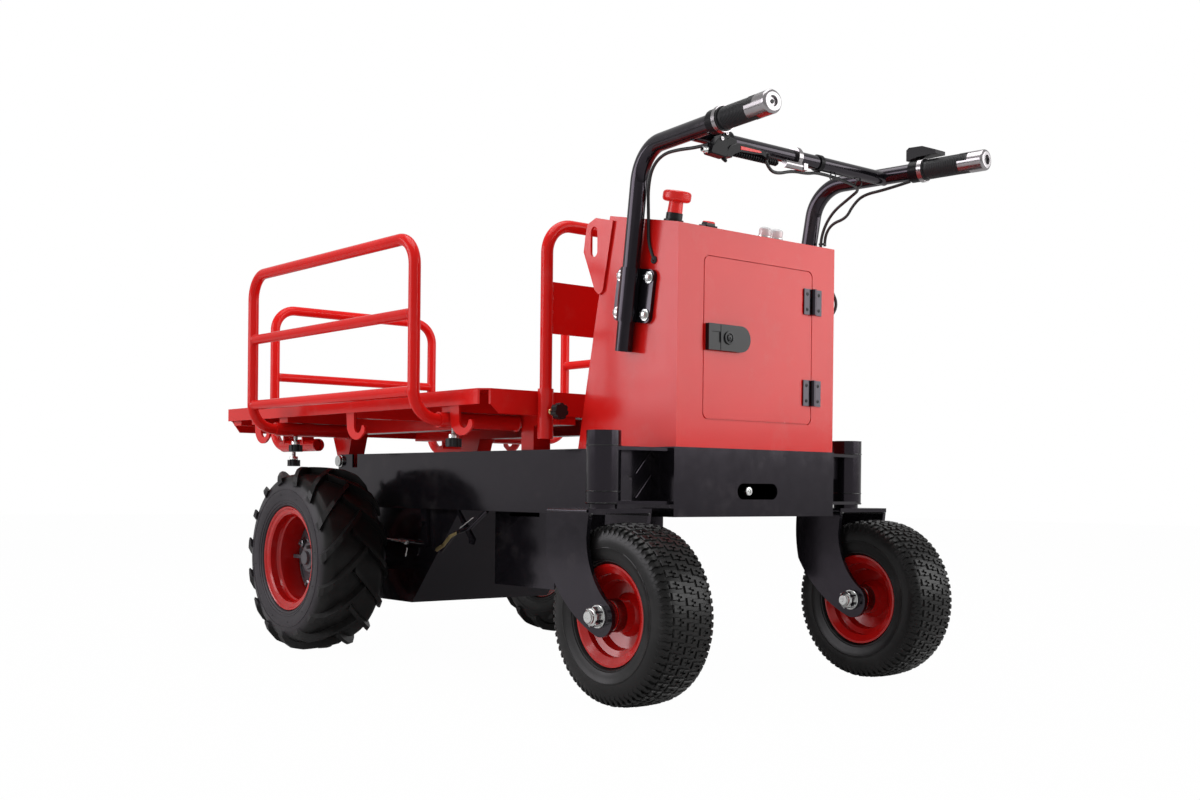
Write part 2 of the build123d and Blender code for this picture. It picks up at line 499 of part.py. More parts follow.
# ======== handlebars
collars, trim, clamps, bar_ends = [], [], [], []
for name, s, bend_y, end_y in HANDLES:
    low = (HANDLE_LOW[0], s * HANDLE_LOW[1], HANDLE_LOW[2])
    bend, end = (HANDLE_BEND_X, s * bend_y, HANDLE_TOP_Z), (HANDLE_END_X, s * end_y, HANDLE_TOP_Z)
    keep(f"handlebar_{name}", bent([low, bend, end], HANDLE_BEND_R, HANDLE_OD))
    u = (Vector(*end) - Vector(*bend)).normalized()

    def at(t):
        """Point on the top tube's centre line, t back from its open end."""
        return tuple(Vector(*end) - u * t)

    keep(f"grip_{name}", ring(at(GRIP_L), at(CAP_L - CAP_T), GRIP_OD, HANDLE_OD))
    cap = ring(at(CAP_L - CAP_T), at(0), GRIP_OD + 3, HANDLE_OD)
    nose = rod(at(0), at(-CAP_T), GRIP_OD + 3)
    nose = fillet(nose.faces().sort_by(Axis.X)[0].edges(), CAP_T * 0.7)
    cap += nose - rod(at(-CAP_T / 2), at(-2 * CAP_T), GRIP_OD / 2)
    fingers = ring(at(CAP_L - CAP_T + FINGER_L), at(CAP_L - CAP_T), GRIP_OD + 3, GRIP_OD + 2 * PIN_GAP)
    across = Plane(origin=at(CAP_L - CAP_T + FINGER_L), z_dir=u)
    for n in range(3):
        gap_at = across * Rot(0, 0, 120 * n + 30) * Pos(GRIP_OD / 2, 0, 0)
        fingers -= gap_at * Box(GRIP_OD, GRIP_OD / 2, 2 * FINGER_L - 4)
    trim += [cap + fingers, ring(at(GRIP_L + FERRULE_L), at(GRIP_L), FERRULE_OD, HANDLE_OD)]
    start = GRIP_L + FERRULE_L
    collars.append(ring(at(start + COLLAR_L), at(start), COLLAR_OD, HANDLE_OD))
    share = (CROSSBAR_X - HANDLE_BEND_X) / (HANDLE_END_X - HANDLE_BEND_X)
    bar_ends.append(bend_y + (end_y - bend_y) * share)

    # saddle clamp that holds the tube to the cabinet side
    w_dir = (Vector(*bend) - Vector(*low)).normalized()
    mid = Vector(*low) + w_dir * ((CLAMP_Z - HANDLE_LOW[2]) / w_dir.Z)
    half = w_dir * (CLAMP_H / 2)
    ears = Plane(origin=(mid.X, s * BOX_HALF, mid.Z), x_dir=(w_dir.X, 0, w_dir.Z), z_dir=(0, s, 0))
    saddle = extrude(ears * RectangleRounded(CLAMP_H, CLAMP_W, 12), amount=CLAMP_T)
    saddle += rod(tuple(mid - half), tuple(mid + half), HANDLE_OD + 2 * SADDLE_T)
    saddle -= block(mid.X - CLAMP_W, mid.X + CLAMP_W, s * BOX_HALF, s * (BOX_HALF - CLAMP_W), mid.Z - CLAMP_H,
                    mid.Z + CLAMP_H)
    saddle -= rod(tuple(mid - half * 2), tuple(mid + half * 2), HANDLE_OD + 2 * PIN_GAP)
    clamps.append(max(saddle.solids(), key=lambda part: part.volume))
keep("handle_clamps", joined(clamps))

crossbar = rod((CROSSBAR_X, -bar_ends[1], CROSSBAR_Z), (CROSSBAR_X, bar_ends[0], CROSSBAR_Z), CROSSBAR_OD)
for name, s, bend_y, end_y in HANDLES:
    crossbar -= rod((HANDLE_BEND_X, s * bend_y, HANDLE_TOP_Z), (HANDLE_END_X, s * end_y, HANDLE_TOP_Z),
                    HANDLE_OD + 2 * PIN_GAP)
keep("handle_crossbar", max(crossbar.solids(), key=lambda part: part.volume))

# ======== hand controls: brake lever over a short ribbed grip, throttle paddle, collars, cable strap
BX, BZ = CROSSBAR_X, CROSSBAR_Z
front_x = BX - CROSSBAR_OD / 2 - 0.5


def on_bar(y0, y1, d):
    return ring((BX, y0, BZ), (BX, y1, BZ), d, CROSSBAR_OD)


lever = on_bar(172, 190, 36) + block(BX - 6, BX + 6, 176, 186, BZ + 15, BZ + 28)
lever += block(front_x - 22, front_x, 178, 196, BZ - 24, BZ + 4)
lever += plate_yz(outline((226, BZ - 2), (194, BZ + 10), (194, BZ - 26), (233, BZ - 26)), front_x - 22, front_x)
lever += rod((front_x - 11, 233, BZ - 21), (front_x - 11, 242, BZ - 21), 9)
blade = outline((196, BZ - 22), (166, BZ - 6), (104, BZ - 2), (82, BZ - 10), (76, BZ - 18), (84, BZ - 22), (100, BZ - 14),
                (162, BZ - 16), (188, BZ - 27))
lever += plate_yz(blade, front_x - 20, front_x - 8)
lever += rod((front_x - 8, 186, BZ - 22), (front_x - 8, 50, BZ - 22), 11)
for n in range(14):
    y_ = 60 + 8 * n
    lever += rod((front_x - 8, y_, BZ - 22), (front_x - 8, y_ + 4, BZ - 22), 13)
right = HANDLES[1]
pod_y = -(right[2] + (right[3] - right[2]) * 0.66)
pod_low = HANDLE_TOP_Z + FERRULE_OD / 2 + 1
pod = plate_xz(outline((-1184, 1009), (-1184, 1030), (-1190, 1034), (-1221, 1032), (-1252, 1020), (-1252, pod_low),
                       (-1207, pod_low), (-1207, 1009)), pod_y - 16, pod_y + 14)
pod += block(-1206, -1190, pod_y - 10, pod_y + 10, HANDLE_TOP_Z + COLLAR_OD / 2 - 4, 1009)
strap = on_bar(-70, -60, 31)
controls = joined([lever, collars[0], collars[1] + pod, strap])
keep("hand_controls", controls)
bar_clamp = on_bar(-5, 5, 38) + block(BX - 5, BX + 5, -5, 5, BZ + 17, BZ + 27)
bar_clamp += block(front_x - 16, BX, -5, 5, BZ - 28, BZ - 16) + rod((front_x - 8, 5, BZ - 22), (front_x - 8, 50, BZ - 22), 14)
keep("handle_trim", joined(trim + [bar_clamp]))

# ======== control cables: lever to the left grommet, both right-hand cables to the right side
left_in = BOX_HALF + CABLE_D / 2 + 0.3
side_y = HANDLES[1][2] + 0.3
cables = [
    [(front_x - 11, 242, BZ - 21), (-1128, 248, BZ - 23), (-1088, 249, BZ - 19), (-1040, 243, BZ - 17),
     (-1003, 236, BZ - 34), (-985, 228, BZ - 68), (-975, 218, BZ - 102), (-972, left_in, 850), (-973, left_in, 815),
     (-985, BOX_HALF, 790)],
    [(front_x - 14, 80, BZ - 16), (front_x - 8, 56, BZ - 36), (front_x, 0, BZ - 36), (BX, -65, BZ - 17),
     (BX + 4, -150, BZ - 20), (BX + 24, -218, BZ - 21), (-1060, -side_y, BZ - 28), (-1012, -side_y, BZ - 52),
     (-985, -side_y, BZ - 95), (-981, -side_y - 6, 840), (-1004, -side_y - 8, 786), (-1022, -side_y - 14, 746),
     (-1012, -side_y + 10, 712), (-996, -BOX_HALF, 702)],
    [(-1190, -263, BZ - 14), (-1140, -253, BZ - 23), (-1088, -side_y - 6, BZ - 26), (-1062, -side_y - 6, BZ - 44),
     (-1046, -side_y - 6, BZ - 66), (-1008, -side_y - 6, BZ - 72), (-990, -side_y - 6, BZ - 96),
     (-988, -side_y - 10, 870)],
]
cabinet = plate_xz(outer_face, -BOX_HALF, BOX_HALF)
runs = []
for route in cables:
    run = bent(route, [0.42 * r for r in spans(route)], CABLE_D) - cabinet - controls
    runs.append(max(run.solids(), key=lambda part: part.volume))
keep("control_cables", joined(runs))


# ======== small controls on the sloped lid
def lid(x_, y_):
    rise = (BOX_TOP_FRONT - BOX_TOP_REAR) / (BOX_FRONT_TOP - BOX_REAR)
    return Plane(origin=(x_, y_, BOX_TOP_REAR + rise * (x_ - BOX_REAR)), x_dir=(0, 1, 0), z_dir=(-rise, 0, 1))


seat = lid(CONTROLS_X, STOP_Y)
stop = extrude(seat.offset(14) * Circle(14), amount=22, taper=3)
mushroom = extrude(seat.offset(36) * Circle(26), amount=19)
stop += fillet(mushroom.edges().filter_by(GeomType.CIRCLE), 6)
keep("emergency_stop", stop)
switches = [extrude(seat * Circle(16), amount=3) + extrude(seat * Circle(10.5), amount=14)]
rocker = extrude(lid(CONTROLS_X, ROCKER_Y) * RectangleRounded(30, 22, 3), amount=5)
rocker += extrude(lid(CONTROLS_X, ROCKER_Y).offset(5) * Rectangle(22, 15), amount=6, taper=12)
switches.append(rocker)
for y_ in LAMPS_Y:
    switches.append(extrude(lid(CONTROLS_X, y_) * Circle(9), amount=5) + extrude(
        lid(CONTROLS_X, y_).offset(5) * Circle(11.5), amount=12))
keep("dash_switches", joined(switches))

# ======== deck: folded tray with deeper end aprons, and rope hooks under its sides
under = DECK_TOP - SHEET
side_z = DECK_TOP - DECK_SIDE_H
tray = block(DECK_REAR, DECK_FRONT, -DECK_HALF, DECK_HALF, side_z, DECK_TOP)
tray = chamfer(tray.edges().filter_by(Axis.Z), DECK_CORNER)
tray -= block(DECK_REAR + SHEET, DECK_FRONT - SHEET, -DECK_HALF + SHEET, DECK_HALF - SHEET, side_z - 1, under)
a = DECK_HALF - DECK_CORNER
b = a - APRON_CUT_W * 0.6
for x0, x1, deep in ((DECK_REAR, DECK_REAR + SHEET, REAR_APRON_H), (DECK_FRONT - SHEET, DECK_FRONT, FRONT_APRON_H)):
    apron = outline((-a, side_z + 1), (-b, DECK_TOP - deep), (b, DECK_TOP - deep), (a, side_z + 1))
    tray += plate_yz(apron, x0, x1)
for s, x_ in [(s, x_) for left, right in HOOKS_X for s, x_ in ((1, left), (-1, right))]:
    hook = make_face([
        Line((x_ + 40, under), (x_ + 34, 500)),
        ThreePointArc((x_ + 34, 500), (x_ + 2, 474), (x_ - 34, 485)),
        ThreePointArc((x_ - 34, 485), (x_ - 41, 495), (x_ - 37, 503)),
        ThreePointArc((x_ - 37, 503), (x_ - 32, 504), (x_ - 28, 500)),
        ThreePointArc((x_ - 28, 500), (x_ - 12, 488), (x_ + 4, 502)),
        Line((x_ + 4, 502), (x_ + 6, under)),
        Line((x_ + 6, under), (x_ + 40, under)),
    ])
    hook = hook if s > 0 else mirror(hook, about=Plane(origin=(x_, 0, 0), z_dir=(1, 0, 0)))
    tray += plate_xz(hook, s * HOOK_Y, s * (HOOK_Y + HOOK_T))
keep("deck_floor", tray)

frame = []
for s in (1, -1):
    long = block(DECK_REAR + SHEET, DECK_FRONT - SHEET, LONG_Y0, LONG_Y1, LONG_Z0, under)
    bracket = make_face([
        Line((PIVOT_X + 52, LONG_Z0), (PIVOT_X + 22, PIVOT_Z)),
        ThreePointArc((PIVOT_X + 22, PIVOT_Z), (PIVOT_X, PIVOT_Z - 22), (PIVOT_X - 22, PIVOT_Z)),
        Line((PIVOT_X - 22, PIVOT_Z), (PIVOT_X - 45, LONG_Z0)),
        Line((PIVOT_X - 45, LONG_Z0), (PIVOT_X + 52, LONG_Z0)),
    ])
    long += plate_xz(bracket, LONG_Y0, LONG_Y1)
    long += block(POST_X0, POST_X1, LONG_Y0, LONG_Y1, FRAME_TOP + REST_GAP, LONG_Z0)
    long -= rod((PIVOT_X, LONG_Y0 - 1, PIVOT_Z), (PIVOT_X, LONG_Y1 + 1, PIVOT_Z), PIVOT_PIN_D + 2 * PIN_GAP)
    frame.append(mirrored(long, s))
for x_ in BEARERS_X:
    frame.append(block(x_ - BEARER_W / 2, x_ + BEARER_W / 2, -HOOK_Y + 1, HOOK_Y - 1, BEARER_Z0, under))
keep("deck_frame", joined(frame))

sockets = []
for s in (1, -1):
    for x_ in (SIDE_X0, SIDE_X1):
        one = ring((x_, SIDE_SOCKET_Y0, SIDE_LEG_Z), (x_, SIDE_SOCKET_Y1, SIDE_LEG_Z), SOCKET_OD,
                   RAIL_OD + 2 * SLIDE_GAP)
        sockets.append(mirrored(one, s))
    front = rod((FRONT_SOCKET_X0, s * FRONT_Y, FRONT_LEG_Z), (FRONT_SOCKET_X1, s * FRONT_Y, FRONT_LEG_Z), SOCKET_OD)
    for x_ in FRONT_HANGERS_X:
        front += block(x_ - HANGER_T / 2, x_ + HANGER_T / 2, s * (FRONT_Y - SOCKET_OD / 2),
                       s * (FRONT_Y + SOCKET_OD / 2), FRONT_LEG_Z, BEARER_Z0)
    sockets.append(front - rod((FRONT_SOCKET_X0 - 1, s * FRONT_Y, FRONT_LEG_Z),
                               (FRONT_SOCKET_X1 + 1, s * FRONT_Y, FRONT_LEG_Z), RAIL_OD + 2 * SLIDE_GAP))
    sockets.append(ring((HEAD_X, s * HEAD_Y, HEAD_SOCKET_Z0), (HEAD_X, s * HEAD_Y, HEAD_SOCKET_Z1), SOCKET_OD,
                        RAIL_OD + 2 * SLIDE_GAP))
keep("rail_receivers", joined(sockets))


# ======== clamp knobs on the receivers: threaded stem, neck and lobed head
def knob(origin, way):
    at = Plane(origin=origin, z_dir=way)
    stem, neck = KNOB_STEM_D + 3, KNOB_STEM_D + 3 + KNOB_NECK
    one = extrude(at * Circle(KNOB_STEM_D / 2), amount=neck)
    one += extrude(at.offset(stem) * Circle(KNOB_R * 0.62), amount=KNOB_NECK)
    head = extrude(at.offset(neck) * Circle(KNOB_R), amount=KNOB_T)
    for n in range(KNOB_LOBES):
        notch = at.offset(neck) * Rot(0, 0, 360 / KNOB_LOBES * n) * Pos(KNOB_R + 1.5, 0, 0)
        head -= extrude(notch * Circle(KNOB_R * 0.25), amount=KNOB_T)
    return one + head


below = SOCKET_OD / 2 + SEAT_GAP
#         X                          Y        Z                    direction
KNOBS = ((FRONT_SOCKET_X1 - 53, FRONT_Y, FRONT_LEG_Z - below, (0, 0, -1)),
         (SIDE_X1, 350.0, SIDE_LEG_Z - below, (0, 0, -1)),
         (SIDE_X0, 367.0, SIDE_LEG_Z - below, (0, 0, -1)),
         (HEAD_X - below, HEAD_Y, 521.0, (-1, 0, 0)))
knobs = []
for x_, y_, z_, way in KNOBS:
    for s in (1, -1):
        knobs.append(knob((x_, s * y_, z_), way))
keep("clamp_knobs", joined(knobs))

# ======== rails
for name, s in SIDES:
    y1 = s * SIDE_Y
    y0 = s * (SIDE_SOCKET_Y0 + 10)
    hoop = bent([(SIDE_X1, y0, SIDE_LEG_Z), (SIDE_X1, y1, SIDE_LEG_Z), (SIDE_X1, y1, SIDE_TOP_Z),
                 (SIDE_X0, y1, SIDE_TOP_Z), (SIDE_X0, y1, SIDE_LEG_Z), (SIDE_X0, y0, SIDE_LEG_Z)], RAIL_R, RAIL_OD)
    for z in SIDE_BARS_Z:
        hoop += rod((SIDE_X0, y1, z), (SIDE_X1, y1, z), RAIL_BAR_OD)
    keep(f"side_rail_{name}", hoop)
x0 = FRONT_SOCKET_X0 + 10
hoop = bent([(x0, FRONT_Y, FRONT_LEG_Z), (FRONT_X, FRONT_Y, FRONT_LEG_Z), (FRONT_X, FRONT_Y, FRONT_TOP_Z),
             (FRONT_X, -FRONT_Y, FRONT_TOP_Z), (FRONT_X, -FRONT_Y, FRONT_LEG_Z), (x0, -FRONT_Y, FRONT_LEG_Z)],
            RAIL_R, RAIL_OD)
hoop += rod((FRONT_X, -FRONT_Y, FRONT_BAR_Z), (FRONT_X, FRONT_Y, FRONT_BAR_Z), RAIL_BAR_OD)
keep("front_rail", hoop)
hoop = bent([(HEAD_X, HEAD_Y, HEAD_LEG_Z), (HEAD_X, HEAD_Y, HEAD_TOP_Z), (HEAD_X, -HEAD_Y, HEAD_TOP_Z),
             (HEAD_X, -HEAD_Y, HEAD_LEG_Z)], HEAD_R, RAIL_OD)
hoop += block(HEAD_X - SHEET / 2, HEAD_X + SHEET / 2, -HEAD_Y, HEAD_Y, HEAD_PLATE_Z0, HEAD_PLATE_Z1)
keep("headboard", hoop)
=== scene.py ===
"""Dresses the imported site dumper: finishes, tread, bolts, welds, switches and a plain studio."""
import math

import bmesh
import bpy
from mathutils import Matrix, Vector


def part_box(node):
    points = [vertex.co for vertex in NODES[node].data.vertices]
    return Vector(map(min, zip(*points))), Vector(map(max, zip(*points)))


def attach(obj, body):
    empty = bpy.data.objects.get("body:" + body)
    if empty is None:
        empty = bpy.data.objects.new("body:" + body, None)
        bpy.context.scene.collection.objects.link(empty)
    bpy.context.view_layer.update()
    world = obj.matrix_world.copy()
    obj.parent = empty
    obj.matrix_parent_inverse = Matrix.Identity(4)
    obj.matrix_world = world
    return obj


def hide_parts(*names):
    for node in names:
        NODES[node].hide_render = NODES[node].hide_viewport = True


bl_info = {
    "name": "Site dumper dressing",
    "version": (1, 0, 0),
    "blender": (4, 5, 0),
    "location": "View3D > Sidebar > Dumper",
    "description": "Gives the site dumper its finishes, tyre tread, fasteners and switches",
    "category": "Object",
}

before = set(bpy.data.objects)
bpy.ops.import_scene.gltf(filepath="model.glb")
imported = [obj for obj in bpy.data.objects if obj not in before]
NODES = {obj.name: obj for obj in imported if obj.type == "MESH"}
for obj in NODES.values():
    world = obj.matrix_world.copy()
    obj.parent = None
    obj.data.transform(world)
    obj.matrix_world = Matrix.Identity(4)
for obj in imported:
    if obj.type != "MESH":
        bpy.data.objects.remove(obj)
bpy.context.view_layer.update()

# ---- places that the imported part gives, in metres
SIDES = (("left", 1), ("right", -1))
REAR_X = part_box("control_box")[0].x
FRAME_REAR_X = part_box("chassis_frame")[0].x
DRIVE_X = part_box("drive_axle")[0].x + 0.032


def along_x(fit_x):
    """Length position from the drive axle in millimetres to the part's X in metres."""
    return DRIVE_X + fit_x / 1000


def centre_of(node):
    low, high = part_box(node)
    return (low + high) / 2


def half_width(node):
    low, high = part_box(node)
    return (high.y - low.y) / 2


# cabinet: its side, the slope and rear edge of its lid, and what stands on the lid
BOX_SIDE_Y = 0.211
LID_RISE, LID_REAR_Z = 0.0370 / 0.189, 0.851
CONTROLS_X = REAR_X + 0.038
LAMPS_Y, ROCKER_Y, STOP_Y = (-0.050, -0.082), 0.101, 0.188
CLIP_SCREWS_X, CLIP_SCREWS_Z = along_x(-1000), (0.797, 0.830)
#            X, side and Z of the grommets where cables enter the cabinet
GROMMETS = ((along_x(-985), 1, 0.790), (along_x(-996), -1, 0.702))

# handlebars: their crossbar, its face on the operator's side, the grips, and a clamp's bolts from its middle
BAR_X, BAR_Z = along_x(-1130), 0.984
BAR_FACE_X = BAR_X - 0.0135
GRIP_R = 0.018
CLAMP_BOLT_ACROSS, CLAMP_BOLT_UP = 0.0385, 0.034

# wheels
CASTER_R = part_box("caster_tyre_left")[1].z / 2
DRIVE_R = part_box("drive_tyre_left")[1].z / 2
CHEEK = half_width("caster_fork_left") - 0.024
KINGPIN_X, KINGPIN_Y, KINGPIN_TUBE_R = -0.547, 0.327, 0.0306
KINGPIN_RINGS_Z, KINGPIN_FOOT_Z = (0.3690, 0.4497), 0.3480
FORK_CROWN_Z = 0.3295
STUDS, STUD_CIRCLE_R, STUD_START = 4, 0.069, 64
HUB_FACE_Y, NUT_SEAT, HUB_CAP_SEAT = 0.345, 0.0095, 0.034
VALVE_CIRCLE_R, VALVE_TURN, VALVE_SEAT = 0.101, -1.25, 0.0415
SLING_BOLT = (FRAME_REAR_X + 0.001, 0.0262, 0.3715)

# deck: rail tubes, their middle bars, the headboard's plate edges, and the receivers
RAIL_TUBE_R, BAR_SEAT = 0.012, 0.0118
SIDE_BARS_Z, FRONT_BAR_Z, PLATE_WELDS_Z = (0.558, 0.709), 0.655, (0.684, 0.712, 0.740, 0.762)
LONG_FACE_Y, RECEIVER_Z, KNOB_DROP = 0.209, 0.505, 0.0155
RECEIVERS_X, HOOK_POSTS_X = (along_x(-572), along_x(124.5)), (along_x(-624), along_x(-583))
KNOB_Z = RECEIVER_Z - KNOB_DROP
#              X, Y and Z of a knob's seat, and the way it points
KNOB_PLACES = ((DRIVE_X + 0.345, 0.241, 0.474 - KNOB_DROP, 0, 0, -1), (DRIVE_X + 0.1245, 0.350, KNOB_Z, 0, 0, -1),
               (DRIVE_X - 0.572, 0.367, KNOB_Z, 0, 0, -1), (DRIVE_X - 0.724 - KNOB_DROP, 0.256, 0.521, -1, 0, 0))


# ======== shader arithmetic
class Sock:
    """A shader socket on which arithmetic adds Math nodes."""

    def __init__(self, tree, socket):
        self.tree, self.socket = tree, socket

    def _math(self, operation, a, b=None):
        return self.tree.node("ShaderNodeMath", {"operation": operation}, {0: a, 1: b}).out(0)

    def __add__(self, other): return self._math("ADD", self, other)
    def __radd__(self, other): return self._math("ADD", other, self)
    def __sub__(self, other): return self._math("SUBTRACT", self, other)
    def __rsub__(self, other): return self._math("SUBTRACT", other, self)
    def __mul__(self, other): return self._math("MULTIPLY", self, other)
    def __rmul__(self, other): return self._math("MULTIPLY", other, self)
    def __pow__(self, other): return self._math("POWER", self, other)
    def __abs__(self): return self._math("ABSOLUTE", self)
    def above(self, other): return self._math("GREATER_THAN", self, other)

    def ramp(self, low, high, out_low=0.0, out_high=1.0):
        """Straight map from low..high to out_low..out_high, held inside that range."""
        made = self.tree.node("ShaderNodeMapRange", {"clamp": True},
                              {"Value": self, "From Min": low, "From Max": high, "To Min": out_low, "To Max": out_high})
        return made.out("Result")


class Made:
    """A new shader node, whose outputs are taken as sockets for arithmetic."""

    def __init__(self, tree, node):
        self.tree, self.node = tree, node

    def out(self, key):
        return Sock(self.tree, self.node.outputs[key])


class Finish:
    """One material with a Principled shader, and the nodes that feed it."""

    def __init__(self, name, **fixed):
        self.material = bpy.data.materials.new(name)
        self.material.use_nodes = True
        self.nodes, self.links = self.material.node_tree.nodes, self.material.node_tree.links
        self.shader = self.nodes["Principled BSDF"]
        for key, value in fixed.items():
            self.shader.inputs[key.replace("_", " ")].default_value = value
        self.place = self.node("ShaderNodeTexCoord", {}, {}).out("Object")

    def node(self, kind, settings, values):
        """New node: its settings first, then the values or links of its sockets."""
        made = self.nodes.new(kind)
        for key, value in settings.items():
            setattr(made, key, value)
        for key, value in values.items():
            if value is None:
                continue
            socket = made.inputs[key]
            if isinstance(value, Sock):
                self.links.new(value.socket, socket)
            else:
                socket.default_value = value
        return Made(self, made)

    def noise(self, scale, detail=3.0, roughness=0.55):
        return self.node("ShaderNodeTexNoise", {}, {"Vector": self.place, "Scale": scale, "Detail": detail,
                                                    "Roughness": roughness}).out("Fac")

    def axes(self):
        made = self.node("ShaderNodeSeparateXYZ", {}, {"Vector": self.place})
        return made.out("X"), made.out("Y"), made.out("Z")

    def mix(self, share, first, second):
        """Colour between two colours; 0, 6 and 7 are the factor and the colour inputs of the Mix node."""
        return self.node("ShaderNodeMix", {"data_type": "RGBA"}, {0: share, 6: first, 7: second}).out(2)

    def feed(self, key, value):
        if isinstance(value, Sock):
            self.links.new(value.socket, self.shader.inputs[key])
        else:
            self.shader.inputs[key].default_value = value
        return self

    def bump(self, height, distance, strength):
        return self.node("ShaderNodeBump", {}, {"Height": height, "Distance": distance,
                                                "Strength": strength}).out("Normal")


def rgba(colour):
    return (colour[0], colour[1], colour[2], 1.0)


def shade(colour, factor):
    return tuple(min(1.0, c * factor) for c in colour[:3])


DUST = (0.42, 0.38, 0.36, 1.0)
CHALK = (0.16, 0.155, 0.15, 1.0)
# paler rubber painted on the drive tyres' outer sidewalls: painted light, not the rubber's own colour
LIT_WALL_RUBBER = (0.047, 0.041, 0.048, 1.0)


def gloss_paint(name, colour, roughness, peel, coat=0.3, orange=0.00012, mirror=0.5, tint=(1, 1, 1)):
    """Stoved gloss paint: orange peel of a given scale and height, soft colour drift, and dust that dulls flats."""
    paint = Finish(name, Specular_IOR_Level=mirror, Specular_Tint=rgba(tint), Coat_Roughness=0.06)
    drift = paint.noise(3.0, 2.0)
    fine = paint.noise(38.0, 3.0)
    dust = paint.noise(11.0, 5.0, 0.7).ramp(0.55, 0.8)
    base = paint.mix(drift.ramp(0.35, 0.65), rgba(shade(colour, 0.93)), rgba(shade(colour, 1.05)))
    base = paint.mix(dust * 0.05, base, DUST)
    rough = fine.ramp(0.3, 0.7, roughness * 0.85, roughness * 1.2) + dust * 0.06
    paint.feed("Base Color", base).feed("Roughness", rough).feed("Coat Weight", coat)
    paint.feed("Normal", paint.bump(paint.noise(peel, 2.0, 0.4), orange, 0.6))
    return paint.material


def rubber(name, colour, roughness, grain=700.0, chalk=0.12, mirror=0.3, wall=False):
    """Moulded rubber: fine grain and a faint chalky bloom; wall paints a drive tyre's outer sidewall paler, as painted
    light from the side.
    """
    made = Finish(name, Specular_IOR_Level=mirror)
    bloom = made.noise(9.0, 5.0, 0.65).ramp(0.45, 0.75)
    skin = made.noise(grain, 2.0, 0.5)
    base = made.mix(bloom * chalk, rgba(colour), CHALK)
    base = made.mix(skin.ramp(0.35, 0.7) * 0.25, base, rgba(shade(colour, 0.6)))
    if wall:
        x, y, z = made.axes()
        radius = ((x - DRIVE_X) ** 2.0 + (z - DRIVE_R) ** 2.0) ** 0.5
        # painted light: the outer sidewall below the shoulder is painted paler, as if lit from the side
        painted_lit_side = radius.ramp(DRIVE_R - 0.030, DRIVE_R - 0.045) * abs(y).above(0.36)
        base = made.mix(painted_lit_side * bloom.ramp(0.0, 1.0, 0.55, 0.95), base, LIT_WALL_RUBBER)
    made.feed("Base Color", base)
    made.feed("Roughness", bloom.ramp(0.0, 1.0, roughness - 0.05, roughness + 0.12))
    made.feed("Normal", made.bump(skin, 0.00012, 0.5))
    return made.material


def metal(name, colour, roughness, stain=0.15):
    """Bright or plated metal with fine handling marks and stains."""
    made = Finish(name, Metallic=1.0)
    marks = made.noise(60.0, 4.0, 0.6)
    grain = made.noise(900.0, 1.0)
    base = made.mix(marks.ramp(0.45, 0.8) * stain, rgba(colour), rgba(shade(colour, 0.45)))
    made.feed("Base Color", base)
    made.feed("Roughness", marks.ramp(0.3, 0.7, roughness * 0.8, roughness * 1.3))
    made.feed("Normal", made.bump(grain, 0.00003, 0.5))
    return made.material


def plastic(name, colour, roughness, grain=1400.0, depth=0.00005, coat=0.0, mirror=0.45):
    """Moulded plastic with a fine grain."""
    made = Finish(name, Specular_IOR_Level=mirror)
    skin = made.noise(grain, 2.0)
    drift = made.noise(14.0, 3.0)
    base = made.mix(drift.ramp(0.35, 0.7), rgba(shade(colour, 0.9)), rgba(shade(colour, 1.12)))
    made.feed("Base Color", base).feed("Roughness", skin.ramp(0.3, 0.7, roughness * 0.85, roughness * 1.15))
    made.feed("Normal", made.bump(skin, depth, 0.6)).feed("Coat Weight", coat)
    return made.material


def make_finishes(s):
    """All finishes by name."""
    return {
        "red_paint": gloss_paint("red_paint", s.red, 0.20, 60.0, 0.06, 0.00006, 0.34),
        "rail_red": gloss_paint("rail_red", s.red, 0.12, 60.0, 0.03, 0.00003, 0.14),
        "black_paint": gloss_paint("black_paint", s.black, 0.13, 55.0, 0.06, 0.00007, 0.42, (0.96, 0.82, 1.0)),
        "rim_red": gloss_paint("rim_red", s.rim_red, 0.17, 30.0, 0.12, 0.00002, 0.40),
        "tyre_rubber": rubber("tyre_rubber", s.rubber, 0.36, chalk=0.07, mirror=0.24),
        "drive_rubber": rubber("drive_rubber", s.rubber, 0.42, mirror=0.2, wall=True),
        "grip_rubber": rubber("grip_rubber", (0.018, 0.018, 0.020), 0.5, 1200.0, 0.05),
        "hub_grey": gloss_paint("hub_grey", (0.07, 0.07, 0.078), 0.42, 260.0, 0.1),
        "bright_steel": metal("bright_steel", (0.36, 0.34, 0.35), 0.20),
        "zinc": metal("zinc", (0.66, 0.67, 0.66), 0.24, 0.3),
        "dark_zinc": metal("dark_zinc", (0.20, 0.20, 0.21), 0.34, 0.3),
        "oiled_steel": metal("oiled_steel", (0.30, 0.25, 0.24), 0.20, 0.5),
        "lens": plastic("lens", (0.66, 0.65, 0.66), 0.12, 300.0, 0.00002, 0.6),
        "brass": metal("brass", (0.62, 0.48, 0.22), 0.3, 0.3),
        "black_plastic": plastic("black_plastic", (0.010, 0.010, 0.011), 0.32, mirror=0.3),
        "lever_black": plastic("lever_black", (0.0075, 0.0070, 0.0085), 0.30, mirror=0.11),
        "red_plastic": plastic("red_plastic", s.stop_red, 0.30, 600.0, 0.00003, 0.0),
        "cable_black": plastic("cable_black", (0.012, 0.012, 0.013), 0.42, 500.0),
        "weld_red": gloss_paint("weld_red", s.red, 0.26, 300.0, 0.5, 0.0006),
        "weld_black": gloss_paint("weld_black", s.black, 0.28, 300.0, 0.1, 0.0006),
    }


FINISHES = {}
